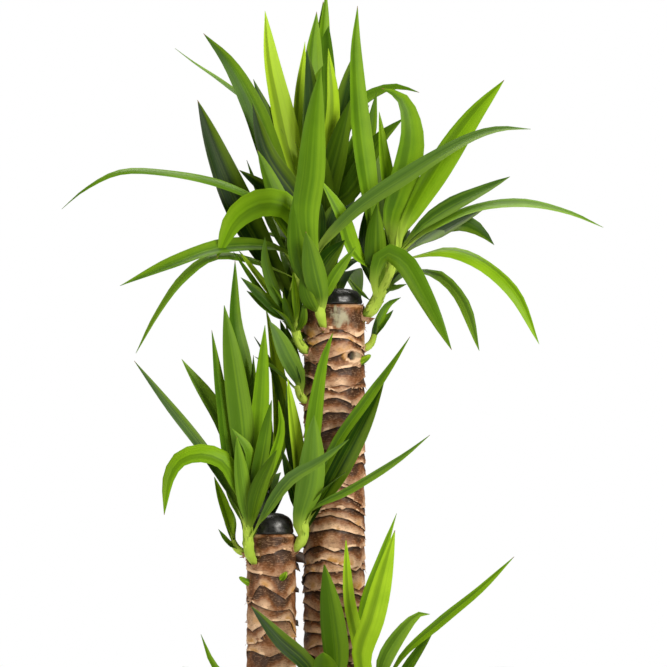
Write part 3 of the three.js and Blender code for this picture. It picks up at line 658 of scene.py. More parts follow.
def turned(name, outline, segments, shift=(0, 0)):
    """Skin turned about Z from (radius, height) points that start and end on the axis."""
    turn = np.arange(segments) * 2 * np.pi / segments
    rings = [np.stack([shift[0] + r * np.cos(turn), shift[1] + r * np.sin(turn),
                       np.full(segments, float(z))], 1) for r, z in outline[1:-1]]
    poles = [(shift[0], shift[1], outline[0][1]), (shift[0], shift[1], outline[-1][1])]
    vertices = np.vstack(rings + [poles])
    piece = new_piece(name, vertices, [], ring_faces(len(rings), segments))
    point_outwards(piece.data)
    return piece


def finish_piece(piece, nodes=(), material=None):
    """Gives a piece its material, its body and the solids it stands for."""
    if material:
        piece.data.materials.clear()
        piece.data.materials.append(material)
    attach(piece, BODY)
    if nodes:
        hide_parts(*nodes)


# Node trees

class Nodes:
    """Adds and links the nodes of one tree, for shaders and geometry alike."""

    def __init__(self, tree):
        self.tree = tree

    def feed(self, socket, value):
        if isinstance(value, bpy.types.NodeSocket):
            self.tree.links.new(value, socket)
        elif value is not None:
            socket.default_value = value

    def add(self, kind, inputs=None, out=0, **settings):
        made = self.tree.nodes.new(kind)
        made.location = (220 * (len(self.tree.nodes) % 9), -220 * (len(self.tree.nodes) // 9))
        for name, value in settings.items():
            setattr(made, name, value)
        for key, value in (inputs or {}).items():
            self.feed(made.inputs[key], value)
        return made.outputs[out] if len(made.outputs) else made

    def math(self, operation, *values):
        return self.add("ShaderNodeMath", dict(enumerate(values)), operation=operation)

    def plus(self, first, second):
        return self.math("ADD", first, second)

    def minus(self, first, second):
        return self.math("SUBTRACT", first, second)

    def times(self, first, second):
        return self.math("MULTIPLY", first, second)

    def vector(self, operation, *values):
        return self.add("ShaderNodeVectorMath", dict(enumerate(values)), operation=operation)

    def scaled(self, vector, by):
        return self.add("ShaderNodeVectorMath", {"Vector": vector, "Scale": by}, operation="SCALE")

    def ease(self, value, low, high, start=0.0, end=1.0):
        inputs = {0: value, 1: low, 2: high, 3: start, 4: end}
        return self.add("ShaderNodeMapRange", inputs, interpolation_type="SMOOTHSTEP")

    def mix(self, share, first, second):
        inputs = {0: share, 6: first, 7: second}
        return self.add("ShaderNodeMix", inputs, out=2, data_type="RGBA")

    def ramp(self, value, stops):
        made = self.tree.nodes.new("ShaderNodeValToRGB")
        self.feed(made.inputs[0], value)
        elements = made.color_ramp.elements
        while len(elements) < len(stops):
            elements.new(0.5)
        for element, (place, colour) in zip(elements, stops):
            element.position = place
            element.color = colour
        return made.outputs[0]

    def noise(self, vector, scale, detail=3.0, roughness=0.55):
        inputs = {"Vector": vector, "Scale": scale, "Detail": detail, "Roughness": roughness}
        return self.add("ShaderNodeTexNoise", inputs)


def geometry_tree(name, sizes):
    """Geometry tree with a geometry socket each way and named inputs for its sizes."""
    tree = bpy.data.node_groups.new(name, "GeometryNodeTree")
    face = tree.interface
    face.new_socket("Geometry", in_out="INPUT", socket_type="NodeSocketGeometry")
    for label, kind, value in sizes:
        socket = face.new_socket(label, in_out="INPUT", socket_type=kind)
        if value is not None:
            socket.default_value = value
    face.new_socket("Geometry", in_out="OUTPUT", socket_type="NodeSocketGeometry")
    nodes = Nodes(tree)
    given = tree.nodes.new("NodeGroupInput")
    return nodes, given.outputs


def close_tree(nodes, geometry, material):
    """Realizes the instances, sets the material and ends the tree."""
    plain = nodes.add("GeometryNodeRealizeInstances", {"Geometry": geometry})
    finished = nodes.add("GeometryNodeSetMaterial", {"Geometry": plain, "Material": material})
    end = nodes.tree.nodes.new("NodeGroupOutput")
    nodes.tree.links.new(finished, end.inputs[0])
    return nodes.tree


def run_tree(piece, tree, values, keep=()):
    """Runs a geometry tree on a piece with values for its named inputs, then settles it."""
    modifier = piece.modifiers.new(tree.name, "NODES")
    modifier.node_group = tree
    for item in tree.interface.items_tree:
        if item.item_type == "SOCKET" and item.in_out == "INPUT" and item.name in values:
            modifier[item.identifier] = values[item.name]
    return settle(piece, keep)


def new_material(name):
    """Material with a Principled shader, and its nodes."""
    material = bpy.data.materials.new(name)
    material.use_nodes = True
    nodes = Nodes(material.node_tree)
    shader = material.node_tree.nodes["Principled BSDF"]
    return material, nodes, shader


def attribute(nodes, name):
    return nodes.add("ShaderNodeAttribute", out=2, attribute_name=name)


def fibre_group():
    """Shader group for fibrous matter: streaks and mottle on stretched coordinates."""
    tree = bpy.data.node_groups.get("Fibre grain")
    if tree:
        return tree
    tree = bpy.data.node_groups.new("Fibre grain", "ShaderNodeTree")
    face = tree.interface
    face.new_socket("Vector", in_out="INPUT", socket_type="NodeSocketVector")
    for label, value in (("Mottle scale", 60.0), ("Streak scale", 300.0), ("Stretch", 0.15)):
        face.new_socket(label, in_out="INPUT", socket_type="NodeSocketFloat").default_value = value
    face.new_socket("Mottle", in_out="OUTPUT", socket_type="NodeSocketFloat")
    face.new_socket("Streaks", in_out="OUTPUT", socket_type="NodeSocketFloat")
    nodes = Nodes(tree)
    given = tree.nodes.new("NodeGroupInput").outputs
    end = tree.nodes.new("NodeGroupOutput")
    parts = nodes.tree.nodes.new("ShaderNodeSeparateXYZ")
    tree.links.new(given["Vector"], parts.inputs[0])
    height = nodes.times(parts.outputs[2], given["Stretch"])
    drawn = nodes.add("ShaderNodeCombineXYZ", {0: parts.outputs[0], 1: parts.outputs[1], 2: height})
    tree.links.new(nodes.noise(given["Vector"], given["Mottle scale"], 4.0, 0.6), end.inputs[0])
    tree.links.new(nodes.noise(drawn, given["Streak scale"], 3.0, 0.6), end.inputs[1])
    return tree


def fibre_grain(nodes, vector, mottle, streak, stretch):
    """Places the fibre group and gives its mottle and streaks."""
    made = nodes.tree.nodes.new("ShaderNodeGroup")
    made.node_tree = fibre_group()
    nodes.feed(made.inputs["Vector"], vector)
    made.inputs["Mottle scale"].default_value = mottle
    made.inputs["Streak scale"].default_value = streak
    made.inputs["Stretch"].default_value = stretch
    return made.outputs["Mottle"], made.outputs["Streaks"]


def set_bump(nodes, shader, height, distance, strength=1.0):
    bump = nodes.add("ShaderNodeBump", {"Height": height, "Distance": distance, "Strength": strength})
    nodes.tree.links.new(bump, shader.inputs["Normal"])


# Materials

LEAF_ROUGHNESS = 0.4
LEAF_SPECULAR = 0.09
BARK_SPECULAR = 0.3
FLAKE_ROUGHNESS = 0.62
SOIL_ROUGHNESS = 0.9
FLOOR_ROUGHNESS = 0.8
WORN_SHARE = 0.6
STEM_BROWN = (0.26, 0.13, 0.035, 1)
DRY_TIP = (0.2, 0.12, 0.04, 1)
PEELED_BARK = (0.4, 0.38, 0.25, 1)
SOIL_FIBRE = (0.28, 0.2, 0.12, 1)
POT_DUST = (0.16, 0.13, 0.1, 1)


def leaf_material(settings):
    """Satin blade: lime foot and midrib, lengthwise veins, bloom, dry tip and a green stem, with painted
    light on one half of a young blade and painted shade on the other, and a near-black darkest tone that is
    partly painted shade.
    """
    material, nodes, shader = new_material("yucca_leaf")
    share, across, under, age, bloom, tint, rounded = (
        attribute(nodes, name)
        for name in ("share", "across", "under", "age", "bloom", "tint", "rounded"))
    where = nodes.add("ShaderNodeTexCoord", out=3)
    cloud = nodes.noise(where, scale=24.0, detail=2.0)
    drift = nodes.times(nodes.minus(cloud, 0.5), 0.36)
    own = nodes.times(nodes.minus(tint, 0.5), 0.2)
    aged = nodes.plus(age, nodes.plus(drift, own))
    # Painted shade: the near-black end of the age ramp, darker than an old leaf's green, stands partly for
    # leaves in the crowns' shade
    dark = blend((0, 0, 0, 1), settings.deep, 0.42)
    green = nodes.ramp(aged, (
        (0.0, settings.lime), (0.3, settings.fresh), (0.57, settings.mid),
        (0.82, settings.deep), (1.0, dark)))
    hazed = nodes.mix(nodes.times(bloom, 0.65), green, settings.bloom)
    width = nodes.math("ABSOLUTE", across)
    young = nodes.ease(age, 0.75, 0.2)
    slender = nodes.ease(share, 0.97, 0.7)
    grain = nodes.add("ShaderNodeCombineXYZ", {
        0: across, 1: nodes.times(tint, 7.0), 2: nodes.times(share, 0.14)})
    veins = nodes.noise(grain, scale=4.5, detail=2.0, roughness=0.5)
    fine = nodes.noise(grain, scale=17.0, detail=2.0, roughness=0.6)
    light = blend(settings.lime, settings.fresh, 0.35)
    # Painted shade on the right half of a young blade, as on a folded leaf turned from the light, and
    # painted light on its left half
    shaded_half = nodes.times(nodes.ease(across, 0.03, 0.16), nodes.ease(across, 0.8, 0.45))
    half_shaded = nodes.mix(nodes.times(shaded_half, nodes.ease(young, 0.0, 1.0, 0.25, 0.5)),
                       hazed, settings.deep)
    lit = nodes.mix(nodes.times(nodes.ease(across, -0.1, -0.6), 0.22), half_shaded, light)
    vein = nodes.times(nodes.ease(veins, 0.5, 0.7, 0.0, 0.12), slender)
    vein = nodes.plus(vein, nodes.ease(fine, 0.55, 0.75, 0.0, 0.05))
    lined = nodes.mix(vein, lit, light)
    seam = nodes.times(nodes.ease(veins, 0.5, 0.32, 0.0, 0.16), slender)
    lined = nodes.mix(seam, lined, settings.deep)
    rib = nodes.times(nodes.ease(width, 0.13, 0.02), nodes.ease(share, 0.95, 0.3))
    ribbed = nodes.mix(nodes.times(rib, 0.13), lined, light)
    edged = nodes.mix(nodes.ease(width, 0.92, 0.99, 0.0, 0.12), ribbed, light)
    foot = nodes.times(nodes.ease(share, 0.24, 0.01), nodes.ease(age, 1.4, 0.5))
    footed = nodes.mix(nodes.times(foot, 0.85), edged, settings.base)
    back = nodes.mix(nodes.times(under, 0.2), footed, settings.fresh)
    stem = nodes.mix(nodes.ease(share, 0.02, 0.1), STEM_BROWN, settings.base)
    stem = nodes.mix(nodes.ease(cloud, 0.4, 0.65, 0.1, 0.45), stem, settings.fresh)
    stemmed = nodes.mix(rounded, back, stem)
    dry = nodes.times(nodes.ease(share, 0.982, 0.995), nodes.ease(tint, 0.6, 0.66))
    dry = nodes.times(dry, nodes.minus(1.0, rounded))
    tipped = nodes.mix(dry, stemmed, DRY_TIP)
    nodes.feed(shader.inputs["Base Color"], tipped)
    grained = nodes.times(nodes.minus(veins, 0.5), 0.2)
    nodes.feed(shader.inputs["Roughness"], nodes.plus(LEAF_ROUGHNESS, grained))
    shader.inputs["Specular IOR Level"].default_value = LEAF_SPECULAR
    relief = nodes.minus(nodes.times(veins, slender), nodes.times(rib, 0.5))
    relief = nodes.plus(relief, nodes.times(fine, 0.08))
    set_bump(nodes, shader, relief, distance=0.0012, strength=0.22)
    return material


def bark_material(settings):
    """Leathery brown bark: pale torn lips, golden fibre and a peeling patch, with painted shade in the
    crevices and under each lip, and painted light towards the foot of each field.
    """
    material, nodes, shader = new_material("yucca_bark")
    lip, crease, field, fibre, rise, peel = (
        attribute(nodes, n) for n in ("lip", "crease", "field", "fibre", "rise", "peel"))
    where = nodes.add("ShaderNodeTexCoord", out=3)
    mottle, streaks = fibre_grain(nodes, where, mottle=110.0, streak=260.0, stretch=3.2)
    speck = nodes.noise(where, scale=900.0, detail=2.0)
    tan = blend(settings.brown, settings.paper, 0.5)
    deep = blend(settings.brown, settings.crevice_shade, 0.8)
    tone = nodes.plus(nodes.times(mottle, 0.55), nodes.times(field, 0.5))
    # Painted shade and light in each field: darker towards its top, under the lip above, and lighter down
    # towards its own lip
    tone = nodes.plus(tone, nodes.ease(rise, 0.8, 0.0, -0.22, 0.2))
    bark = nodes.ramp(tone, ((0.28, deep), (0.47, settings.brown), (0.71, tan), (0.94, settings.paper)))
    streaked = nodes.mix(nodes.ease(streaks, 0.52, 0.68, 0.0, 0.42), bark, tan)
    lined = nodes.mix(nodes.ease(streaks, 0.48, 0.36, 0.0, 0.45), streaked, deep)
    dotted = nodes.mix(nodes.ease(speck, 0.55, 0.7, 0.0, 0.05), lined, settings.paper)
    golden = nodes.mix(nodes.times(fibre, nodes.ease(mottle, 0.3, 0.5, 0.2, 0.9)),
                       dotted, settings.fibre)
    torn = nodes.mix(nodes.ease(lip, 0.3, 0.9), golden, settings.paper)
    # Painted shade: the crevice colour laid in the grooves, under each lip and in the eye's hole
    groove_shaded = nodes.mix(nodes.ease(crease, 0.1, 0.95), torn, settings.crevice_shade)
    peeled = nodes.mix(nodes.times(peel, nodes.ease(mottle, 0.34, 0.55, 0.3, 0.85)),
                       groove_shaded, PEELED_BARK)
    nodes.feed(shader.inputs["Base Color"], peeled)
    nodes.feed(shader.inputs["Roughness"], nodes.ease(mottle, 0.3, 0.7, 0.36, 0.56))
    shader.inputs["Specular IOR Level"].default_value = BARK_SPECULAR
    relief = nodes.plus(nodes.times(mottle, 0.7), nodes.times(streaks, 0.6))
    relief = nodes.plus(relief, nodes.times(speck, 0.1))
    set_bump(nodes, shader, relief, distance=0.0011, strength=0.55)
    return material


def flake_material(name, settings, colour, worn_share=WORN_SHARE):
    """Thin papery flake or fibre with streaks along its length."""
    material, nodes, shader = new_material(name)
    where = nodes.add("ShaderNodeTexCoord", out=3)
    mottle, streaks = fibre_grain(nodes, where, mottle=150.0, streak=600.0, stretch=0.5)
    ground = blend(colour, settings.brown, worn_share / WORN_SHARE)
    worn = nodes.mix(nodes.ease(mottle, 0.35, 0.7), ground, colour)
    nodes.feed(shader.inputs["Base Color"], nodes.mix(
        nodes.ease(streaks, 0.5, 0.75, 0.0, worn_share), worn, settings.paper))
    shader.inputs["Roughness"].default_value = FLAKE_ROUGHNESS
    set_bump(nodes, shader, streaks, distance=0.0008, strength=0.6)
    return material


def wax_material(settings):
    """Black glossy wax, a little uneven."""
    material, nodes, shader = new_material("yucca_wax")
    where = nodes.add("ShaderNodeTexCoord", out=3)
    slow = nodes.noise(where, scale=45.0, detail=2.0)
    fine = nodes.noise(where, scale=300.0, detail=3.0)
    grey = tuple(1.8 * c for c in settings.wax[:3]) + (1,)
    nodes.feed(shader.inputs["Base Color"], nodes.mix(nodes.ease(slow, 0.4, 0.75), settings.wax, grey))
    nodes.feed(shader.inputs["Roughness"], nodes.ease(fine, 0.3, 0.75, 0.26, 0.42))
    set_bump(nodes, shader, nodes.plus(slow, nodes.times(fine, 0.15)), distance=0.002, strength=0.35)
    return material


def soil_material(settings):
    """Dark crumbs with paler bark fibre."""
    material, nodes, shader = new_material("yucca_soil")
    where = nodes.add("ShaderNodeTexCoord", out=3)
    mottle, streaks = fibre_grain(nodes, where, mottle=120.0, streak=500.0, stretch=0.8)
    brown = tuple(3.5 * c for c in settings.soil[:3]) + (1,)
    earth = nodes.mix(nodes.ease(mottle, 0.45, 0.7), settings.soil, brown)
    nodes.feed(shader.inputs["Base Color"], nodes.mix(
        nodes.ease(streaks, 0.66, 0.74, 0.0, 0.7), earth, SOIL_FIBRE))
    shader.inputs["Roughness"].default_value = SOIL_ROUGHNESS
    set_bump(nodes, shader, mottle, distance=0.003, strength=0.8)
    return material


def pot_material(settings):
    """Satin moulded plastic with a fine grain and dust near the foot."""
    material, nodes, shader = new_material("yucca_pot")
    where = nodes.add("ShaderNodeTexCoord", out=3)
    fine = nodes.noise(where, scale=900.0, detail=2.0)
    slow = nodes.noise(where, scale=14.0, detail=3.0)
    height = nodes.add("ShaderNodeSeparateXYZ", {0: where}, out=2)
    dust = nodes.times(nodes.ease(height, 0.04, 0.0), nodes.ease(slow, 0.4, 0.65))
    nodes.feed(shader.inputs["Base Color"], nodes.mix(
        nodes.times(dust, 0.4), settings.pot, POT_DUST))
    nodes.feed(shader.inputs["Roughness"], nodes.ease(slow, 0.3, 0.7, 0.36, 0.5))
    set_bump(nodes, shader, fine, distance=0.0004, strength=0.35)
    return material


# Leaves

def blade_outline(share):
    """Share of the full blade width at a share of the leaf's length."""
    swell = BLADE_BASE + (1 - BLADE_BASE) * smooth(0, BLADE_WIDEST, share)
    closing = np.maximum(share - BLADE_WIDEST, 0) / (1 - BLADE_WIDEST)
    return swell * (1 - closing ** 2.2)


def stem_place(stem, height):
    """Point of the stem's axis at a height."""
    places = catmull_rom(stem, STEM_SAMPLES)
    return places[np.argmin(np.abs(places[:, 2] - height))].copy()


def seen_at(points):
    """Moves points along the camera's rays, so that each shows at its place on the plane y = 0."""
    away = 1 + points[:, 1:2] / CAMERA_DISTANCE
    moved = EYE + (points - EYE) * away
    moved[:, 1] = points[:, 1]
    return moved


def clasp(shoot, root, outward):
    """Points down the stem from a leaf's root, on the side where the leaf holds it."""
    foot = shoot["stem"][1][2]
    made = []
    for drop in CLASP_DROPS:
        height = root[2] - drop
        if height > foot - CLASP_REACH:
            level = np.clip((height - foot) / (shoot["stem"][-1][2] - foot), 0, 1)
            radius = lerp(*shoot["radii"], level)
            place = stem_place(shoot["stem"], height) + CLASP_HOLD * radius * outward
            made.append((*place, radius))
    return made


def shown_leaves(shoot):
    """Leaves that the front shows, from their rows."""
    crown = np.array(shoot["stem"][-1]) + CROWN_RISE * UP
    made = []
    for number, (tone, width, turn, twist, depth, height, path) in enumerate(shoot["leaves"]):
        root = stem_place(shoot["stem"], height)
        outward = unit(np.array([path[-1][0] - root[0], depth - root[1], 0.0]))
        root += ROOT_SPREAD * shoot["radii"][1] * outward
        flat = np.array([(root[0], root[2]), *path], float)
        run = np.concatenate([[0], np.cumsum(np.linalg.norm(np.diff(flat, axis=0), axis=1))])
        left = 1 - run / run[-1]
        points = np.stack([flat[:, 0], lerp(depth, root[1], left * left), flat[:, 1]], 1)
        points[1:] = seen_at(points[1:])
        points[0] = root
        made.append(dict(points=points, width=width, turn=turn, twist=twist, tone=tone,
                         crown=crown, reference=INTO_VIEW, tint=draw(number, width),
                         outward=outward, clasp=clasp(shoot, root, outward)))
    return made


def spread_leaves(shoot, rule):
    """Leaves set round the stem, lower ones flatter and more bent."""
    count, start_turn, end_turn, low, high, bend, length, width, start, tones = rule
    crown = np.array(shoot["stem"][-1]) + CROWN_RISE * UP
    foot, head = shoot["stem"][1][2], shoot["stem"][-1][2]
    made = []
    for i in range(count):
        level = (i + 0.5) / count
        azimuth = math.radians(lerp(start_turn, end_turn, (start + i * GOLDEN_ANGLE) % 1))
        rise = math.radians(lerp(low, high, level))
        droop = math.radians(bend * (1.1 - level))
        reach = length * (0.8 + 0.3 * draw(i, count + start_turn)) / SPREAD_STEPS
        outward = level_way(azimuth)
        points = [stem_place(shoot["stem"], lerp(foot, head, level))
                  + ROOT_SPREAD * shoot["radii"][1] * outward]
        for step in range(SPREAD_STEPS):
            slope = rise - droop * step / (SPREAD_STEPS - 1)
            points.append(points[-1] + reach * (math.cos(slope) * outward + math.sin(slope) * UP))
        made.append(dict(
            points=np.array(points), width=width, turn=SPREAD_TURN * (draw(i, 5 + count) - 0.5),
            twist=SPREAD_TWIST, tone=tones[i % len(tones)], crown=crown, reference=UP,
            tint=draw(i, 9 + count), outward=outward, clasp=clasp(shoot, points[0], outward)))
    return made


def blade_strand(leaf):
    """Stations along one blade: place, side, face, half width and colour values."""
    length = curve_length(leaf["points"])
    share = np.linspace(0, 1, int(np.clip(length / STATION_STEP, *STATION_COUNTS)))
    at, along = along_curve(leaf["points"], share)
    level = unit(np.cross(along, leaf["reference"]))
    lean = np.cross(along, level)
    angle = np.radians(leaf["turn"] + leaf["twist"] * (share - 0.5))[:, None]
    side = np.cos(angle) * level + np.sin(angle) * lean
    face = unit(np.cross(side, along))
    if face[-2] @ (leaf["crown"] - at[len(at) // 2]) < 0:
        face = -face
    half = np.maximum(leaf["width"] / 2 * blade_outline(share), TIP_HALF_WIDTH)
    hold = leaf["clasp"]
    if hold:
        around = unit(np.cross(UP, leaf["outward"]))
        around *= np.sign(around @ side[0]) or 1
        own = np.clip(np.arange(len(share)) / CLASP_STATIONS, 0, 1)[:, None]
        side = unit(own * side + (1 - own) * around)
        face = unit(own * face - (1 - own) * leaf["outward"])
        places = np.array([row[:3] for row in hold])
        radii = np.array([row[3] for row in hold])
        at = np.vstack([places, at])
        side = np.vstack([np.tile(around, (len(hold), 1)), side])
        face = np.vstack([np.tile(-leaf["outward"], (len(hold), 1)), face])
        fit = np.linspace(CLASP_FIT, 1, len(hold))
        half = np.concatenate([np.maximum(radii * CLASP_COVER, half[0]) * fit, half])
        share = np.concatenate([np.zeros(len(hold)), share])
    age, bloom = TONES[leaf["tone"]]
    return dict(centre=at, side=side, face=face, half=half, share=share, age=age, bloom=bloom,
                tint=leaf["tint"], rounded=0.0)


def stem_strand(shoot):
    """Stations along a shoot's stem, slightly ringed where old leaves have left it."""
    share = np.linspace(0, 1, STEM_STATIONS)
    at = catmull_rom(shoot["stem"], STEM_STATIONS)
    along = unit(np.gradient(at, axis=0))
    side = unit(np.cross(along, INTO_VIEW))
    rings = STEM_RING_DEPTH * np.sin(share * STEM_RING_STEP)
    radius = STEM_FIT * lerp(*shoot["radii"], share) + rings
    radius *= lerp(STEM_FOOT, 1, smooth(0, STEM_FOOT_SHARE, share))
    radius[-1] = 1
    return dict(centre=at, side=side, face=np.cross(side, along), half=radius, share=share,
                age=0.1, bloom=0.0, tint=0.2, rounded=1.0)


def strands_piece(name, strands):
    """Open edge chains, one for each strand, with its values on the vertices."""
    places, edges, columns = [], [], {}
    for strand in strands:
        count = len(strand["centre"])
        first = len(places)
        places.extend(strand["centre"])
        edges.extend((first + k, first + k + 1) for k in range(count - 1))
        for key, value in strand.items():
            value = np.asarray(value, float)
            rows = value if value.ndim and len(value) == count else np.full(count, value)
            columns.setdefault(key, []).append(rows)
    columns = {key: np.concatenate(rows) for key, rows in columns.items()}
    columns["centre"] = columns["centre"] * MM
    columns["half"] = columns["half"] * MM
    return new_piece(name, places, edges, [], columns)


def blade_tree():
    """Geometry tree that sweeps a closed section along each strand: a blade or a round stem."""
    nodes, given = geometry_tree("Yucca blades", (
        ("Blade thickness", "NodeSocketFloat", 0.0012), ("Trough", "NodeSocketFloat", 0.2),
        ("Margin ripple", "NodeSocketFloat", 0.05), ("Finish", "NodeSocketMaterial", None)))

    def stored(name, kind="FLOAT"):
        return nodes.add("GeometryNodeInputNamedAttribute", {"Name": name}, data_type=kind)

    def store(geometry, name, value):
        inputs = {"Geometry": geometry, "Name": name, "Value": value}
        return nodes.add("GeometryNodeStoreNamedAttribute", inputs, data_type="FLOAT")

    ring = nodes.add("GeometryNodeCurvePrimitiveCircle", {"Resolution": RING_POINTS, "Radius": 0.001})
    turn = nodes.times(nodes.add("GeometryNodeInputIndex"), 2 * math.pi / RING_POINTS)
    ring = store(ring, "around", turn)
    rail = nodes.add("GeometryNodeMeshToCurve", {"Mesh": given["Geometry"]})
    tube = nodes.add("GeometryNodeCurveToMesh", {"Curve": rail, "Profile Curve": ring, "Fill Caps": True})
    across = nodes.math("COSINE", stored("around"))
    upper = nodes.math("SINE", stored("around"))
    half, share, tint = stored("half"), stored("share"), stored("tint")
    channel = nodes.ease(share, CHANNEL_SHARE, 0.0, 0.0, CHANNEL)
    depth = nodes.times(nodes.plus(given["Trough"], channel), half)
    bent = nodes.math("POWER", nodes.math("ABSOLUTE", across), TROUGH_POWER)
    trough = nodes.times(depth, bent)
    phase = nodes.plus(nodes.times(share, RIPPLE_STEPS[0]), nodes.times(tint, RIPPLE_STEPS[1]))
    phase = nodes.plus(phase, nodes.times(across, RIPPLE_STEPS[2]))
    wave = nodes.times(nodes.math("SINE", phase), nodes.times(bent, half))
    ripple = nodes.times(wave, given["Margin ripple"])
    slim = nodes.times(nodes.times(given["Blade thickness"], 0.5),
                       nodes.ease(share, 1.05, 0.6, TIP_THINNESS, 1.0))
    lens = nodes.times(slim, upper)
    lift = nodes.plus(nodes.plus(trough, ripple), lens)
    rounded = stored("rounded")
    lift = nodes.plus(nodes.times(lift, nodes.minus(1.0, rounded)),
                      nodes.times(rounded, nodes.times(half, upper)))
    spread = nodes.scaled(stored("side", "FLOAT_VECTOR"), nodes.times(half, across))
    raised = nodes.scaled(stored("face", "FLOAT_VECTOR"), lift)
    place = nodes.vector("ADD", stored("centre", "FLOAT_VECTOR"), nodes.vector("ADD", spread, raised))
    tube = store(tube, "across", across)
    tube = store(tube, "under", nodes.math("LESS_THAN", upper, -0.1))
    blades = nodes.add("GeometryNodeSetPosition", {"Geometry": tube, "Position": place})
    blades = nodes.add("GeometryNodeSetShadeSmooth", {"Geometry": blades})
    edge = nodes.math("GREATER_THAN", nodes.math("ABSOLUTE", stored("across")), RIM_SHARE)
    rim = nodes.times(edge, nodes.math("LESS_THAN", rounded, 0.5))
    blades = nodes.add("GeometryNodeSetShadeSmooth", {
        "Geometry": blades, "Selection": rim, "Shade Smooth": False}, domain="EDGE")
    return close_tree(nodes, blades, given["Finish"])


LEAF_VALUES = ("share", "across", "under", "age", "bloom", "tint", "rounded")


def grow(name, strands, settings, material):
    """Blades and stems from their strands, as one piece."""
    tree = bpy.data.node_groups.get("Yucca blades") or blade_tree()
    piece = strands_piece(name, strands)
    values = {"Blade thickness": settings.thickness, "Trough": settings.trough,
              "Margin ripple": settings.ripple, "Finish": material}
    return run_tree(piece, tree, values, LEAF_VALUES)


class YUCCA_OT_leaves(bpy.types.Operator):
    """Grow the leafy shoots: blades, stems and their veins"""
    bl_idname = "yucca.leaves"
    bl_label = "Leaves"

    def execute(self, context):
        settings = context.scene.yucca_leaf
        material = leaf_material(settings)
        for name, shoot in SHOOTS.items():
            leaves = shown_leaves(shoot)
            for rule in shoot["spread"]:
                leaves.extend(spread_leaves(shoot, rule))
            strands = [blade_strand(leaf) for leaf in leaves] + [stem_strand(shoot)]
            piece = grow(name.replace("shoot", "leaves"), strands, settings, material)
            finish_piece(piece, [name])
        return {"FINISHED"}


# Buds

def bud_strands(cane, azimuth, height, size):
    """Pointed bud on the bark and the scales that wrap it."""
    spec = CANES[cane]
    out = level_way(math.radians(azimuth))
    foot = np.array([spec["x"], spec["y"], height]) + (spec["radius"] - 5) * out
    share = np.linspace(0, 1, 12)
    at = foot + share[:, None] * (16 * out) + (share ** 1.5)[:, None] * 8 * UP
    along = unit(np.gradient(at, axis=0))
    side = unit(np.cross(along, UP))
    body = size * 0.85 * np.sqrt(np.clip(1 - share ** 2.4, 0.004, 1))
    strands = [dict(centre=at, side=side, face=np.cross(side, along), half=body, share=share * 0.4 + 0.2,
                    age=0.15, bloom=0.0, tint=0.2, rounded=1.0)]
    for k in range(5):
        turn = 2 * math.pi * k * GOLDEN_ANGLE
        face = math.cos(turn) * side + math.sin(turn) * np.cross(side, along)
        centre = at + face * (body * 0.92)[:, None]
        strands.append(dict(centre=centre, side=unit(np.cross(along, face)), face=-face,
                            half=size * 0.8 * (1 - share ** 1.6) + 0.2, share=share * 0.5 + 0.15,
                            age=0.2 + 0.1 * k, bloom=0.1, tint=0.1 * k, rounded=0.0))
    return strands


class YUCCA_OT_buds(bpy.types.Operator):
    """Set the green buds in the bark"""
    bl_idname = "yucca.buds"
    bl_label = "Buds"

    def execute(self, context):
        material = bpy.data.materials["yucca_leaf"]
        for name, spec in BUDS.items():
            piece = grow(f"{name}_scales", bud_strands(*spec), context.scene.yucca_leaf, material)
            finish_piece(piece, [name])
        return {"FINISHED"}


# Bark

def waves(turn, seed, first, step, count):
    """Sum of seeded sines round the cane, from about -1.5 to 1.5."""
    total = 0
    for m in range(count):
        phase = 9 * draw(m, seed + first)
        total = total + (draw(seed, m + first) - 0.2) * np.sin((first + step * m) * turn + phase)
    return total


def lip_lines(spec):
    """Angles of the columns, and the heights of the torn lips on them, lowest lip first."""
    turn = -np.pi / 2 + np.arange(spec["columns"]) * 2 * np.pi / spec["columns"]
    low, high = SOIL_LEVEL + 10, spec["top"] - spec["collar"]
    count = round((high - low) / spec["spacing"])
    lines = []
    for k in range(count + 1):
        seed = spec["seed"] + k
        waver = LIP_WAVER * spec["spacing"] * draw(k, 12) * np.sin(turn + 7 * draw(k, 14))
        line = lerp(low, high, k / count) + waver
        for fold in range(LIP_FOLDS):
            place = k * GOLDEN_ANGLE + FOLD_STEPS[0] * fold + FOLD_STEPS[1] * spec["seed"]
            middle = 2 * math.pi * (place % 1)
            gap = np.abs((turn - middle + np.pi) % (2 * np.pi) - np.pi)
            reach = FOLD_REACH[0] + FOLD_REACH[1] * draw(k, spec["seed"] + fold)
            way = 1 if draw(k, 8 + fold) > RISING_FOLDS else RISING_DEPTH
            dip = spec["dip"] * (FOLD_DEPTH[0] + FOLD_DEPTH[1] * draw(k, 3 + fold)) * way
            line = line - dip * (np.maximum(1 - gap / reach, 0) ** FOLD_SHARPNESS - FOLD_RETURN)
        lines.append(line + waves(turn, seed, 2, 1, 3) + spec["torn"] * waves(turn, seed, 7, 4, 5))
    lines = np.sort(np.array(lines), axis=0)
    lines[0] = np.maximum(lines[0], SOIL_LEVEL - 2)
    for k in range(1, len(lines)):
        lines[k] = np.maximum(lines[k], lines[k - 1] + LEAST_FIELD)
    lines -= np.maximum(lines[-1] - (spec["top"] - TOP_BAND), 0)
    return turn, lines


def curl_out(spec, turn, k):
    """How far the k-th lip stands out, from flat to curled, round the cane."""
    curl = np.clip(waves(turn, spec["seed"] * 7 + k, 2, 2, 5) + 0.05, 0, 1.7)
    return spec["relief"] * (0.3 + 1.05 * curl)


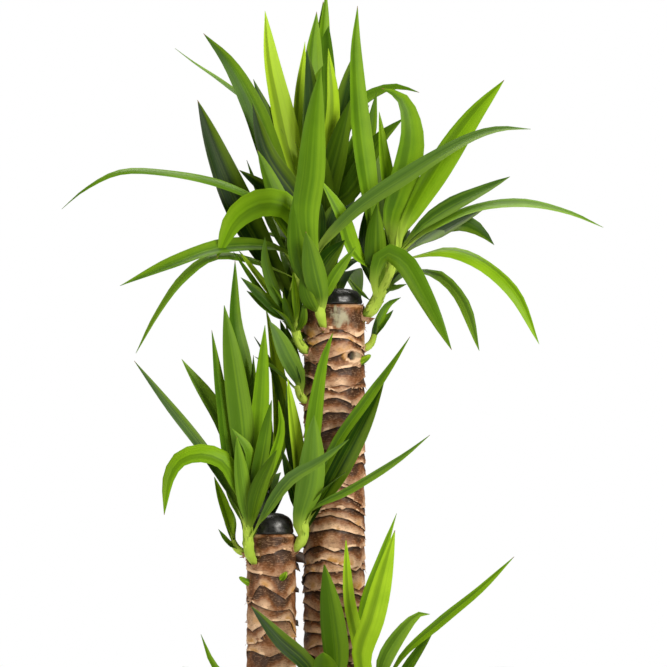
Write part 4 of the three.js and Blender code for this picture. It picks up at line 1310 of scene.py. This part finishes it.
def bark_skin(spec):
    """Rows of bark from the foot to the sawn top: fields that flare down to a torn lip."""
    turn, lines = lip_lines(spec)
    columns = spec["columns"]
    radius, top = spec["radius"], float(spec["top"])
    flat = np.ones(columns)
    # Each row holds radius, height, lip, painted crease shade, field tone and rise up the field
    rows = [(radius * flat, CANE_SEAT_HEIGHT * flat, 0, 0, 0.4, 0.5)]
    rows.append(((radius - BARK_GROOVE) * flat, (SOIL_LEVEL - 4) * flat, 0, 0.4, 0.4, 1))
    shares = (0.07, 0.16, 0.3, 0.46, 0.62, 0.78, 0.9)
    for k, low in enumerate(lines):
        collar = k == len(lines) - 1
        high = top * flat if collar else lines[k + 1]
        gap = high - low
        room = np.clip(gap / 5, 0.25, 1)
        out = curl_out(spec, turn, k) * room
        tone = draw(k, spec["seed"] + 40)
        pale = smooth(0.25, 1.1, out / spec["relief"])
        rows.append((radius + out, low - LIP_DROOP, pale, 0.15, tone, 0))
        rows.append((radius + out - 0.1, low + LIP_THICKNESS, pale, 0, tone, 0))
        groove = 0.2 if collar else BARK_GROOVE * spec["relief"]
        for share in shares:
            height = lerp(low + LIP_THICKNESS, high - (CUT_CHAMFER + 0.5 if collar else 0), share)
            inward = lerp(out, -groove, share ** 0.8)
            lip = pale * float(smooth(0.16, 0.05, share))
            # Painted shade: the upper part of each field, under the lip above, darkens towards the crevice
            # colour
            crease = 0 if collar else spec["relief"] * float(smooth(0.6, 0.97, share))
            rows.append((radius + inward, height, lip, crease, tone, share))
        if not collar:
            # The groove under the next lip takes full painted shade
            rows.append(((radius - groove - 0.5) * flat, high + 0.5, 0, 1, tone, 1))
    rows.append(((radius - 0.2) * flat, (top - CUT_CHAMFER) * flat, 0.1, 0, 0.5, 0.4))
    rows.append(((radius - CUT_CHAMFER) * flat, top * flat, 0.25, 0, 0.5, 0.4))
    out, height, lip, crease, field, rise = (
        np.array([np.broadcast_to(np.asarray(row[k], float), (columns,)) for row in rows])
        for k in range(6))
    around = np.broadcast_to(turn, out.shape)
    inside = ((height > SOIL_LEVEL + 4) & (height < top - CUT_CHAMFER - 0.5)).astype(float)
    spot = np.stack([out * np.cos(around), out * np.sin(around), height], 2).reshape(-1, 3)
    folds = 0.6 - 2.4 * np.abs(rough(spot * (1, 1, 1.5), 15, spec["seed"]))
    folds += 0.45 * rough(spot, 5, spec["seed"] + 1)
    out = out + 0.95 * folds.reshape(out.shape) * inside
    patch = rough(spot, 22, spec["seed"] + 2).reshape(out.shape)
    values = dict(lip=lip, crease=crease, field=np.clip(0.75 * field + 0.9 * patch + spec["pale"], 0, 1),
                  fibre=smooth(0.12, 0.4, patch) * smooth(0.6, 0.1, rise) * (field > 0.45),
                  rise=rise, peel=np.zeros_like(out))
    if spec is CANES["tall"]:
        out = eye_and_patch(spec, around, height, out, values)
    vertices = np.stack([spec["x"] + out * np.cos(around), spec["y"] + out * np.sin(around), height], 2)
    return vertices, values


# Marks on the tall cane: azimuth in radians and height of the eye, of the peeling patch and
# of the bare round patch, each with its half width and half height
EYE_MARK = (-0.9, 713, 17, 10)
PEEL_MARK = (-1.35, 760, 12, 13)
BARE_MARK = (-0.86, 747, 8, 12)
MARK_RADIUS = 36


def eye_and_patch(spec, around, height, out, values):
    """Sinks an old bud's eye in a pale patch, paints shade in its hole and marks the peeling and the bare
    patch.
    """

    def inside(mark, size=1.0):
        gap = (around - mark[0] + np.pi) % (2 * np.pi) - np.pi
        u = gap * spec["radius"] / mark[2] / size
        v = (height - mark[1]) / mark[3] / size
        return u, v, np.hypot(u, v)

    u, v, far = inside(EYE_MARK)
    patch = smooth(1.05, 0.8, far + 0.25 * np.abs(u) * np.abs(v))
    u, v, near = inside(EYE_MARK, 0.5)
    hole = smooth(1.1, 0.85, near) * smooth(0.3, 0.05, u)
    bud = smooth(1.0, 0.6, np.hypot(u - 0.35, v)) * smooth(-0.15, 0.1, u)
    values["lip"] = np.maximum(values["lip"] * (1 - patch), patch * (0.55 + 0.4 * (v < -0.6)))
    # Painted shade in the eye's hole; the pale patch loses the fields' painted shade
    values["crease"] = np.maximum(values["crease"] * (1 - patch), hole)
    values["fibre"] = np.maximum(values["fibre"] * (1 - patch), patch * smooth(-0.9, -1.5, u))
    values["peel"] = np.maximum(values["peel"], 0.55 * bud)
    plain = lerp(out, spec["radius"] + 1.2, patch)
    out = plain - 5.5 * hole + 1.6 * bud
    spots = np.stack([np.cos(around) * MARK_RADIUS, np.sin(around) * MARK_RADIUS, height], 2).reshape(-1, 3)
    ragged = rough(spots, 5, 41).reshape(out.shape)
    peeling = smooth(1.0, 0.8, inside(PEEL_MARK)[2] + 0.8 * ragged)
    values["peel"] = np.maximum(values["peel"], peeling)
    bare = smooth(1.0, 0.75, inside(BARE_MARK)[2] + 0.4 * ragged)
    values["lip"] = np.maximum(values["lip"], 0.4 * bare)
    # The bare patch loses the painted shade too
    values["crease"] = values["crease"] * (1 - bare)
    return out


def cane_piece(name, spec):
    """Bark of one cane as a closed skin."""
    vertices, values = bark_skin(spec)
    rows, columns = vertices.shape[:2]
    flat = np.vstack([vertices.reshape(-1, 3), [
        (spec["x"], spec["y"], CANE_SEAT_HEIGHT), (spec["x"], spec["y"], spec["top"])]])
    columns_of = {key: np.append(grid.ravel(), (0, 0)) for key, grid in values.items()}
    piece = new_piece(name, flat, [], ring_faces(rows, columns), columns_of)
    smooth_faces(piece.data, 70)
    return piece


class YUCCA_OT_canes(bpy.types.Operator):
    """Wrap the canes in their leathery, torn bark"""
    bl_idname = "yucca.canes"
    bl_label = "Canes"

    def execute(self, context):
        material = bark_material(context.scene.yucca_bark)
        for size, spec in CANES.items():
            piece = cane_piece(f"bark_{size}", spec)
            finish_piece(piece, [f"cane_{size}"], material)
        return {"FINISHED"}


def flake_tree():
    """Geometry tree that sets curled flakes along edge chains, leaning out from the bark."""
    nodes, given = geometry_tree("Yucca flakes", (
        ("Spacing", "NodeSocketFloat", 0.005), ("Flake length", "NodeSocketFloat", 0.006),
        ("Flake width", "NodeSocketFloat", 0.004), ("Lean", "NodeSocketFloat", 0.5),
        ("Swing", "NodeSocketFloat", 0.5), ("Share kept", "NodeSocketFloat", 0.4),
        ("Seed", "NodeSocketInt", 1), ("Finish", "NodeSocketMaterial", None)))

    def random_vector(low, high, seed):
        inputs = {0: low, 1: high, 8: nodes.plus(given["Seed"], seed)}
        return nodes.add("FunctionNodeRandomValue", inputs, data_type="FLOAT_VECTOR")

    rail = nodes.add("GeometryNodeMeshToCurve", {"Mesh": given["Geometry"]})
    points = nodes.add("GeometryNodeCurveToPoints", {"Curve": rail, "Length": given["Spacing"]},
                       mode="LENGTH")
    kept = nodes.add("FunctionNodeRandomValue", {
        "Probability": given["Share kept"], 8: given["Seed"]}, out=3, data_type="BOOLEAN")
    grid = nodes.add("GeometryNodeMeshGrid", {
        "Size X": given["Flake width"], "Size Y": given["Flake length"],
        "Vertices X": 3, "Vertices Y": 4})
    place = nodes.add("GeometryNodeInputPosition")
    parts = nodes.tree.nodes.new("ShaderNodeSeparateXYZ")
    nodes.tree.links.new(place, parts.inputs[0])
    along = nodes.plus(nodes.math("DIVIDE", parts.outputs[1], given["Flake length"]), 0.5)
    narrow = nodes.minus(1.0, nodes.times(nodes.math("POWER", along, 2.0), 0.8))
    curl = nodes.times(nodes.math("POWER", along, 2.0), nodes.times(given["Flake length"], 0.35))
    shaped = nodes.add("ShaderNodeCombineXYZ", {
        0: nodes.times(parts.outputs[0], narrow),
        1: nodes.times(along, given["Flake length"]), 2: curl})
    flake = nodes.add("GeometryNodeSetPosition", {"Geometry": grid, "Position": shaped})
    out = nodes.add("GeometryNodeInputNamedAttribute", {"Name": "out"}, data_type="FLOAT_VECTOR")
    upright = nodes.add("FunctionNodeAlignRotationToVector", {"Vector": out}, axis="Z")
    upright = nodes.add("FunctionNodeAlignRotationToVector", {
        "Rotation": upright, "Vector": (0, 0, -1)}, axis="Y", pivot_axis="Z")
    tilt = nodes.vector("MULTIPLY", random_vector((0.0, -0.3, -1.0), (1.0, 0.3, 1.0), 2),
                        nodes.add("ShaderNodeCombineXYZ", {
                            0: given["Lean"], 1: 1.0, 2: given["Swing"]}))
    turned_by = nodes.add("FunctionNodeRotateRotation", {
        "Rotation": upright, "Rotate By": nodes.add("FunctionNodeEulerToRotation", {0: tilt})},
        rotation_space="LOCAL")
    size = random_vector((0.35, 0.3, 1), (1.4, 1.3, 1), 3)
    flakes = nodes.add("GeometryNodeInstanceOnPoints", {
        "Points": points, "Selection": kept, "Instance": flake, "Rotation": turned_by,
        "Scale": size})
    return close_tree(nodes, flakes, given["Finish"])


def lip_chains(name, spec):
    """Closed edge chains along the lips, with the way out of the bark on each vertex."""
    columns = spec["columns"]
    turn, lines = lip_lines(spec)
    out = np.stack([np.cos(turn), np.sin(turn), np.zeros(columns)], 1)
    places, edges = [], []
    for k, height in enumerate(lines):
        first = len(places)
        reach = spec["radius"] + curl_out(spec, turn, k)[:, None] * 0.5
        ring = np.array([spec["x"], spec["y"], 0]) + reach * out
        ring[:, 2] = height + 0.3
        places.extend(ring)
        edges.extend((first + k, first + (k + 1) % columns) for k in range(columns))
    return new_piece(name, places, edges, [], {"out": np.tile(out, (len(lines), 1))})


class YUCCA_OT_flakes(bpy.types.Operator):
    """Set papery flakes and golden fibres along the bark's torn lips"""
    bl_idname = "yucca.flakes"
    bl_label = "Bark flakes"

    def execute(self, context):
        settings = context.scene.yucca_bark
        tree = flake_tree()
        kinds = (
            ("flakes", flake_material("yucca_flake", settings, settings.paper),
             dict(spacing=1.0, length=0.75, width=2.2, lean=0.3, swing=0.5, kept=0.09)),
            ("fibres", flake_material("yucca_fibre", settings, settings.fibre),
             dict(spacing=1.0, length=1.6, width=0.16, lean=0.1, swing=1.5, kept=0.05)),
        )
        for size, spec in CANES.items():
            for number, (kind, material, share) in enumerate(kinds):
                piece = lip_chains(f"bark_{kind}_{size}", spec)
                run_tree(piece, tree, {
                    "Spacing": settings.flake_spacing * share["spacing"],
                    "Flake length": settings.flake_length * share["length"],
                    "Flake width": settings.flake_length * share["width"],
                    "Lean": share["lean"], "Swing": share["swing"], "Share kept": share["kept"],
                    "Seed": spec["seed"] + 50 * number, "Finish": material})
                thicken = piece.modifiers.new("Thickness", "SOLIDIFY")
                thicken.thickness = FLAKE_THICKNESS * MM
                settle(piece)
                piece.data.shade_smooth()
                finish_piece(piece)
        return {"FINISHED"}


# Sheaths

def sheath_strands(shoot):
    """Short papery scales that wrap the foot of a shoot's stem."""
    foot, head = (np.array(place, float) for place in shoot["stem"][:2])
    way = unit(head - foot)
    radius = shoot["radii"][0]
    share = np.linspace(0, 1, 9)
    strands = []
    for k in range(SHEATH_SCALES):
        azimuth = 2 * math.pi * (k * GOLDEN_ANGLE + draw(radius, 3))
        out = level_way(azimuth)
        side = unit(np.cross(way, out))
        out = np.cross(side, way)
        length = SHEATH_LENGTH * (0.6 + 0.6 * draw(k, radius)) * radius / 8
        start = lerp(foot, head, 0.05 + 0.25 * k / SHEATH_SCALES)
        flare = 0.92 + (0.1 + 0.35 * draw(k, 5)) * share ** 2
        centre = start + (share * length)[:, None] * way + (radius * flare)[:, None] * out
        half = radius * 0.62 * np.maximum(1 - share ** 1.6, 0.05)
        strands.append(dict(
            centre=centre, side=np.tile(side, (9, 1)), face=np.tile(-out, (9, 1)), half=half,
            share=share * 0.2, age=0.0, bloom=0.0, tint=draw(k, 7), rounded=0.0))
    return strands


def shred_strand(cane, azimuth, height, length, width):
    """Ragged scale that hangs from the side of a cane, broad face to the front."""
    spec = CANES[cane]
    out = level_way(math.radians(azimuth))
    share = np.linspace(0, 1, 9)
    foot = np.array([spec["x"], spec["y"], height]) + (spec["radius"] - 2) * out
    centre = foot + (share * length)[:, None] * out - (share ** 1.7 * 0.7 * length)[:, None] * UP
    along = unit(np.gradient(centre, axis=0))
    side = unit(np.cross(along, INTO_VIEW))
    ragged = 1 + 0.25 * np.sin(9 * share + height)
    half = width / 2 * ragged * np.maximum(1 - share ** 2.2, 0.05)
    return dict(centre=centre, side=side, face=np.cross(side, along), half=half, share=share * 0.2,
                age=0.0, bloom=0.0, tint=draw(height, 7), rounded=0.0)


class YUCCA_OT_sheaths(bpy.types.Operator):
    """Wrap the feet of the shoots in papery brown scales"""
    bl_idname = "yucca.sheaths"
    bl_label = "Sheaths"

    def execute(self, context):
        settings = context.scene.yucca_bark
        material = flake_material("yucca_sheath", settings, blend(settings.paper, settings.brown, 0.5))
        for size in CANES:
            strands = []
            for name, shoot in SHOOTS.items():
                if name.startswith(size):
                    strands.extend(sheath_strands(shoot))
            piece = grow(f"sheaths_{size}", strands, context.scene.yucca_leaf, material)
            finish_piece(piece)
        # The shreds take the crevice colour: painted shade, standing partly for the shadow between the
        # canes
        shreds = [shred_strand(*row) for row in SHREDS]
        piece = grow("bark_shreds", shreds, context.scene.yucca_leaf,
                     flake_material("yucca_shred", settings, settings.crevice_shade, 0.05))
        finish_piece(piece)
        return {"FINISHED"}


# Wax, soil and pot

class YUCCA_OT_wax(bpy.types.Operator):
    """Seal the sawn tops with black wax"""
    bl_idname = "yucca.wax"
    bl_label = "Wax caps"

    def execute(self, context):
        material = wax_material(context.scene.yucca_pot)
        for size, spec in CANES.items():
            radius = spec["radius"] * WAX_COVER - CUT_CHAMFER / 2
            foot = spec["top"] + 0.3
            outline = [(0, foot), (radius * 0.5, foot), (radius, foot)]
            outline += [(radius + out, foot + rise) for out, rise in WAX_EDGE]
            for step in range(1, WAX_STEPS):
                turn = math.pi / 2 * step / WAX_STEPS
                outline.append(((radius + WAX_EDGE[-1][0]) * math.cos(turn) ** WAX_ROUNDNESS,
                                foot + WAX_FOOT + (spec["wax"] - WAX_FOOT) * math.sin(turn)))
            outline.append((0, foot + spec["wax"]))
            piece = turned(f"wax_{size}", outline, segments=96, shift=(spec["x"], spec["y"]))
            spots = np.array([v.co for v in piece.data.vertices]) / MM
            lumps = rough(spots, 14, spec["seed"]) + 0.4 * rough(spots, 6, spec["seed"])
            for vertex, lump in zip(piece.data.vertices, lumps):
                if vertex.co.z > (foot + 1) * MM:
                    out = Vector((vertex.co.x - spec["x"] * MM, vertex.co.y - spec["y"] * MM, 0))
                    vertex.co += (out * 0.03 * lump + Vector((0, 0, 0.7 * MM * min(lump, 0))))
            smooth_faces(piece.data, 60)
            finish_piece(piece, [f"wax_cap_{size}"], material)
        return {"FINISHED"}


def pot_inside(height):
    """Inner radius of the pot at a height."""
    share = min(height / (POT_HEIGHT - POT_LIP_HEIGHT), 1)
    return lerp(POT_FOOT_RADIUS, POT_RIM_RADIUS - POT_LIP_STEP, share) - POT_WALL


def crumb_tree():
    """Geometry tree that strews seeded crumbs over the soil."""
    nodes, given = geometry_tree("Yucca soil crumbs", (
        ("Density", "NodeSocketFloat", 60000.0), ("Crumb radius", "NodeSocketFloat", 0.003),
        ("Seed", "NodeSocketInt", 5), ("Finish", "NodeSocketMaterial", None)))
    top = nodes.math("GREATER_THAN", nodes.add("ShaderNodeSeparateXYZ", {
        0: nodes.add("GeometryNodeInputNormal")}, out=2), 0.6)
    points = nodes.add("GeometryNodeDistributePointsOnFaces", {
        "Mesh": given["Geometry"], "Selection": top, "Density": given["Density"],
        "Seed": given["Seed"]}, distribute_method="RANDOM")
    ball = nodes.add("GeometryNodeMeshIcoSphere", {"Radius": given["Crumb radius"], "Subdivisions": 1})
    turn = nodes.add("FunctionNodeRandomValue", {0: (0, 0, 0), 1: (6.3, 6.3, 6.3), 8: 3},
                     data_type="FLOAT_VECTOR")
    size = nodes.add("FunctionNodeRandomValue", {0: (0.25, 0.2, 0.15), 1: (1.2, 0.8, 0.6), 8: 7},
                     data_type="FLOAT_VECTOR")
    crumbs = nodes.add("GeometryNodeInstanceOnPoints", {
        "Points": points, "Instance": ball, "Rotation": nodes.add("FunctionNodeEulerToRotation", {0: turn}),
        "Scale": size})
    both = nodes.tree.nodes.new("GeometryNodeJoinGeometry")
    nodes.tree.links.new(crumbs, both.inputs[0])
    nodes.tree.links.new(given["Geometry"], both.inputs[0])
    return close_tree(nodes, both.outputs[0], given["Finish"])


class YUCCA_OT_soil(bpy.types.Operator):
    """Fill the pot with crumbly soil"""
    bl_idname = "yucca.soil"
    bl_label = "Soil"

    def execute(self, context):
        settings = context.scene.yucca_pot
        edge = POT_HEIGHT - POT_LIP_HEIGHT - SOIL_DROP
        rim = pot_inside(edge) - SOIL_GAP
        foot = POT_FLOOR + 0.3
        outline = [(0, foot), (pot_inside(POT_FLOOR) - SOIL_GAP, foot), (rim, edge)]
        outline += [(rim * (1 - k / SOIL_RINGS), SOIL_LEVEL) for k in range(SOIL_RINGS + 1)]
        piece = turned("potting_soil", outline, segments=96)
        for vertex in piece.data.vertices:
            if vertex.co.z > (SOIL_LEVEL - 1) * MM:
                spot = vertex.co / MM
                lump = noise.noise(spot / 16) * 2.4 + noise.noise(spot / 5) * 1.2
                vertex.co.z += lump * MM
        run_tree(piece, crumb_tree(), {
            "Density": float(settings.crumbs), "Crumb radius": settings.crumb, "Seed": 5,
            "Finish": soil_material(settings)})
        smooth_faces(piece.data, 30)
        finish_piece(piece, ["soil"])
        return {"FINISHED"}


def pot_outline():
    """Section of the pot from the middle of its underside, round the lip, to its floor."""
    shoulder = POT_HEIGHT - POT_LIP_HEIGHT
    rim = POT_RIM_RADIUS
    return [
        (0, 0), (40, 0), (POT_FOOT_RADIUS - 10, 0), (POT_FOOT_RADIUS - 2.5, 0),
        (POT_FOOT_RADIUS - 0.8, 0.6), (POT_FOOT_RADIUS, 2.2),
        (lerp(POT_FOOT_RADIUS, rim - POT_LIP_STEP, 0.5), shoulder / 2),
        (rim - POT_LIP_STEP, shoulder - 1), (rim - POT_LIP_STEP + 0.3, shoulder),
        (rim - 1.4, shoulder + 0.4), (rim - 0.6, shoulder + 1.4),
        (rim, POT_HEIGHT - 2.2), (rim - 0.3, POT_HEIGHT - 0.8), (rim - 1.3, POT_HEIGHT),
        (rim - POT_WALL - 0.4, POT_HEIGHT), (rim - POT_WALL - 1, POT_HEIGHT - 0.6),
        (rim - POT_WALL - 1.6, shoulder + 4), (pot_inside(shoulder - 2), shoulder - 2),
        (pot_inside(POT_FLOOR) + 0.4, POT_FLOOR + 2), (pot_inside(POT_FLOOR) - 1.5, POT_FLOOR),
        (40, POT_FLOOR), (0, POT_FLOOR),
    ]


class YUCCA_OT_pot(bpy.types.Operator):
    """Turn the pot with its lip and drain holes"""
    bl_idname = "yucca.pot"
    bl_label = "Pot"

    def execute(self, context):
        piece = turned("pot_shell", pot_outline(), segments=144)
        drills = bpy.data.meshes.new("drain_drills")
        work = bmesh.new()
        for k in range(DRAIN_COUNT):
            turn = 2 * math.pi * (k + 0.5) / DRAIN_COUNT
            made = bmesh.ops.create_cone(
                work, cap_ends=True, segments=32, radius1=DRAIN_RADIUS * MM,
                radius2=DRAIN_RADIUS * MM, depth=4 * POT_FLOOR * MM)
            place = Vector((math.cos(turn), math.sin(turn), 0)) * DRAIN_CIRCLE_RADIUS * MM
            bmesh.ops.translate(work, verts=made["verts"], vec=place)
        work.to_mesh(drills)
        work.free()
        cutter = bpy.data.objects.new("drain_drills", drills)
        bpy.context.scene.collection.objects.link(cutter)
        cut = piece.modifiers.new("Drain holes", "BOOLEAN")
        cut.object = cutter
        cut.solver = "EXACT"
        settle(piece)
        bpy.data.objects.remove(cutter)
        smooth_faces(piece.data, 38)
        finish_piece(piece, ["pot"], pot_material(context.scene.yucca_pot))
        return {"FINISHED"}


# Stage

# Soft lights: the setting with the power, place and size in metres
LIGHTS = (
    ("key", (2.1, -2.4, 2.1), 1.5),
    ("fill", (-2.6, -1.8, 1.3), 1.8),
    ("top", (0.1, 0.9, 3.0), 1.8),
)
LIGHT_AIM = (0.02, 0.0, 0.75)
LIGHT_COLOUR = (1, 0.965, 0.9)
FLOOR_RADIUS = 4000
FLOOR_LOW = -12
FLOOR_HIGH = -0.2


def soft_light(name, place, aim, size, power):
    """Square soft light at a place, facing another; both in metres."""
    light = bpy.data.lights.new(name, "AREA")
    light.size = size
    light.energy = power
    light.color = LIGHT_COLOUR
    lamp = bpy.data.objects.new(name, light)
    lamp.location = place
    lamp.rotation_euler = (Vector(aim) - Vector(place)).to_track_quat("-Z", "Y").to_euler()
    bpy.context.scene.collection.objects.link(lamp)


def surround(strength):
    """White surround that lights the plant with the given strength and is seen as white."""
    world = bpy.data.worlds.new("white_surround")
    world.use_nodes = True
    bpy.context.scene.world = world
    nodes = Nodes(world.node_tree)
    shown = nodes.add("ShaderNodeLightPath")
    light = nodes.add("ShaderNodeMapRange", {0: shown, 3: strength, 4: 1.0})
    back = world.node_tree.nodes["Background"]
    nodes.feed(back.inputs["Color"], nodes.mix(shown, (1, 0.97, 0.91, 1), (1, 1, 1, 1)))
    nodes.feed(back.inputs["Strength"], light)


class YUCCA_OT_stage(bpy.types.Operator):
    """Set the floor, the lights, the surround and the camera"""
    bl_idname = "yucca.stage"
    bl_label = "Stage"

    def execute(self, context):
        settings = context.scene.yucca_stage
        scene = context.scene
        scene.view_settings.view_transform = "Standard"
        floor = turned("floor", [
            (0, FLOOR_LOW), (FLOOR_RADIUS, FLOOR_LOW), (FLOOR_RADIUS, FLOOR_HIGH),
            (0, FLOOR_HIGH)], segments=96)
        pale, nodes, shader = new_material("pale_floor")
        where = nodes.add("ShaderNodeTexCoord", out=3)
        nodes.feed(shader.inputs["Base Color"], nodes.mix(
            nodes.noise(where, scale=3.0), (0.86, 0.86, 0.85, 1), (0.9, 0.9, 0.89, 1)))
        shader.inputs["Roughness"].default_value = FLOOR_ROUGHNESS
        floor.data.materials.append(pale)
        for name, place, size in LIGHTS:
            soft_light(name, place, LIGHT_AIM, size, getattr(settings, name))
        surround(settings.surround)
        camera = bpy.data.cameras.new("camera")
        camera.sensor_width = SENSOR_WIDTH
        camera.lens = SENSOR_WIDTH * CAMERA_DISTANCE / PHOTO_SIDE
        holder = bpy.data.objects.new("camera", camera)
        holder.location = (CAMERA_X * MM, -CAMERA_DISTANCE * MM, CAMERA_Z * MM)
        holder.rotation_euler = (math.pi / 2, 0, 0)
        scene.collection.objects.link(holder)
        scene.camera = holder
        return {"FINISHED"}


class VIEW3D_PT_yucca(bpy.types.Panel):
    """Steps and settings of the potted yucca"""
    bl_label = "Potted Yucca"
    bl_space_type = "VIEW_3D"
    bl_region_type = "UI"
    bl_category = "Yucca"

    def draw(self, context):
        for step in STEPS:
            self.layout.operator(step.bl_idname, text=step.bl_label)
        for name, group in SETTINGS.items():
            box = self.layout.box()
            for key in group.__annotations__:
                box.prop(getattr(context.scene, name), key)


STEPS = (YUCCA_OT_stage, YUCCA_OT_leaves, YUCCA_OT_buds, YUCCA_OT_canes, YUCCA_OT_flakes,
         YUCCA_OT_sheaths, YUCCA_OT_wax, YUCCA_OT_soil, YUCCA_OT_pot)
SETTINGS = {
    "yucca_leaf": YuccaLeafSettings,
    "yucca_bark": YuccaBarkSettings,
    "yucca_pot": YuccaPotSettings,
    "yucca_stage": YuccaStageSettings,
}


def register():
    for name, group in SETTINGS.items():
        bpy.utils.register_class(group)
        setattr(bpy.types.Scene, name, PointerProperty(type=group))
    for step in STEPS:
        bpy.utils.register_class(step)
    bpy.utils.register_class(VIEW3D_PT_yucca)


def unregister():
    bpy.utils.unregister_class(VIEW3D_PT_yucca)
    for step in reversed(STEPS):
        bpy.utils.unregister_class(step)
    for name, group in SETTINGS.items():
        delattr(bpy.types.Scene, name)
        bpy.utils.unregister_class(group)


def main():
    register()
    bpy.ops.yucca.stage()
    bpy.ops.yucca.leaves()
    bpy.ops.yucca.buds()
    bpy.ops.yucca.canes()
    bpy.ops.yucca.flakes()
    bpy.ops.yucca.sheaths()
    bpy.ops.yucca.wax()
    bpy.ops.yucca.soil()
    bpy.ops.yucca.pot()


if __name__ == "__main__":
    main()
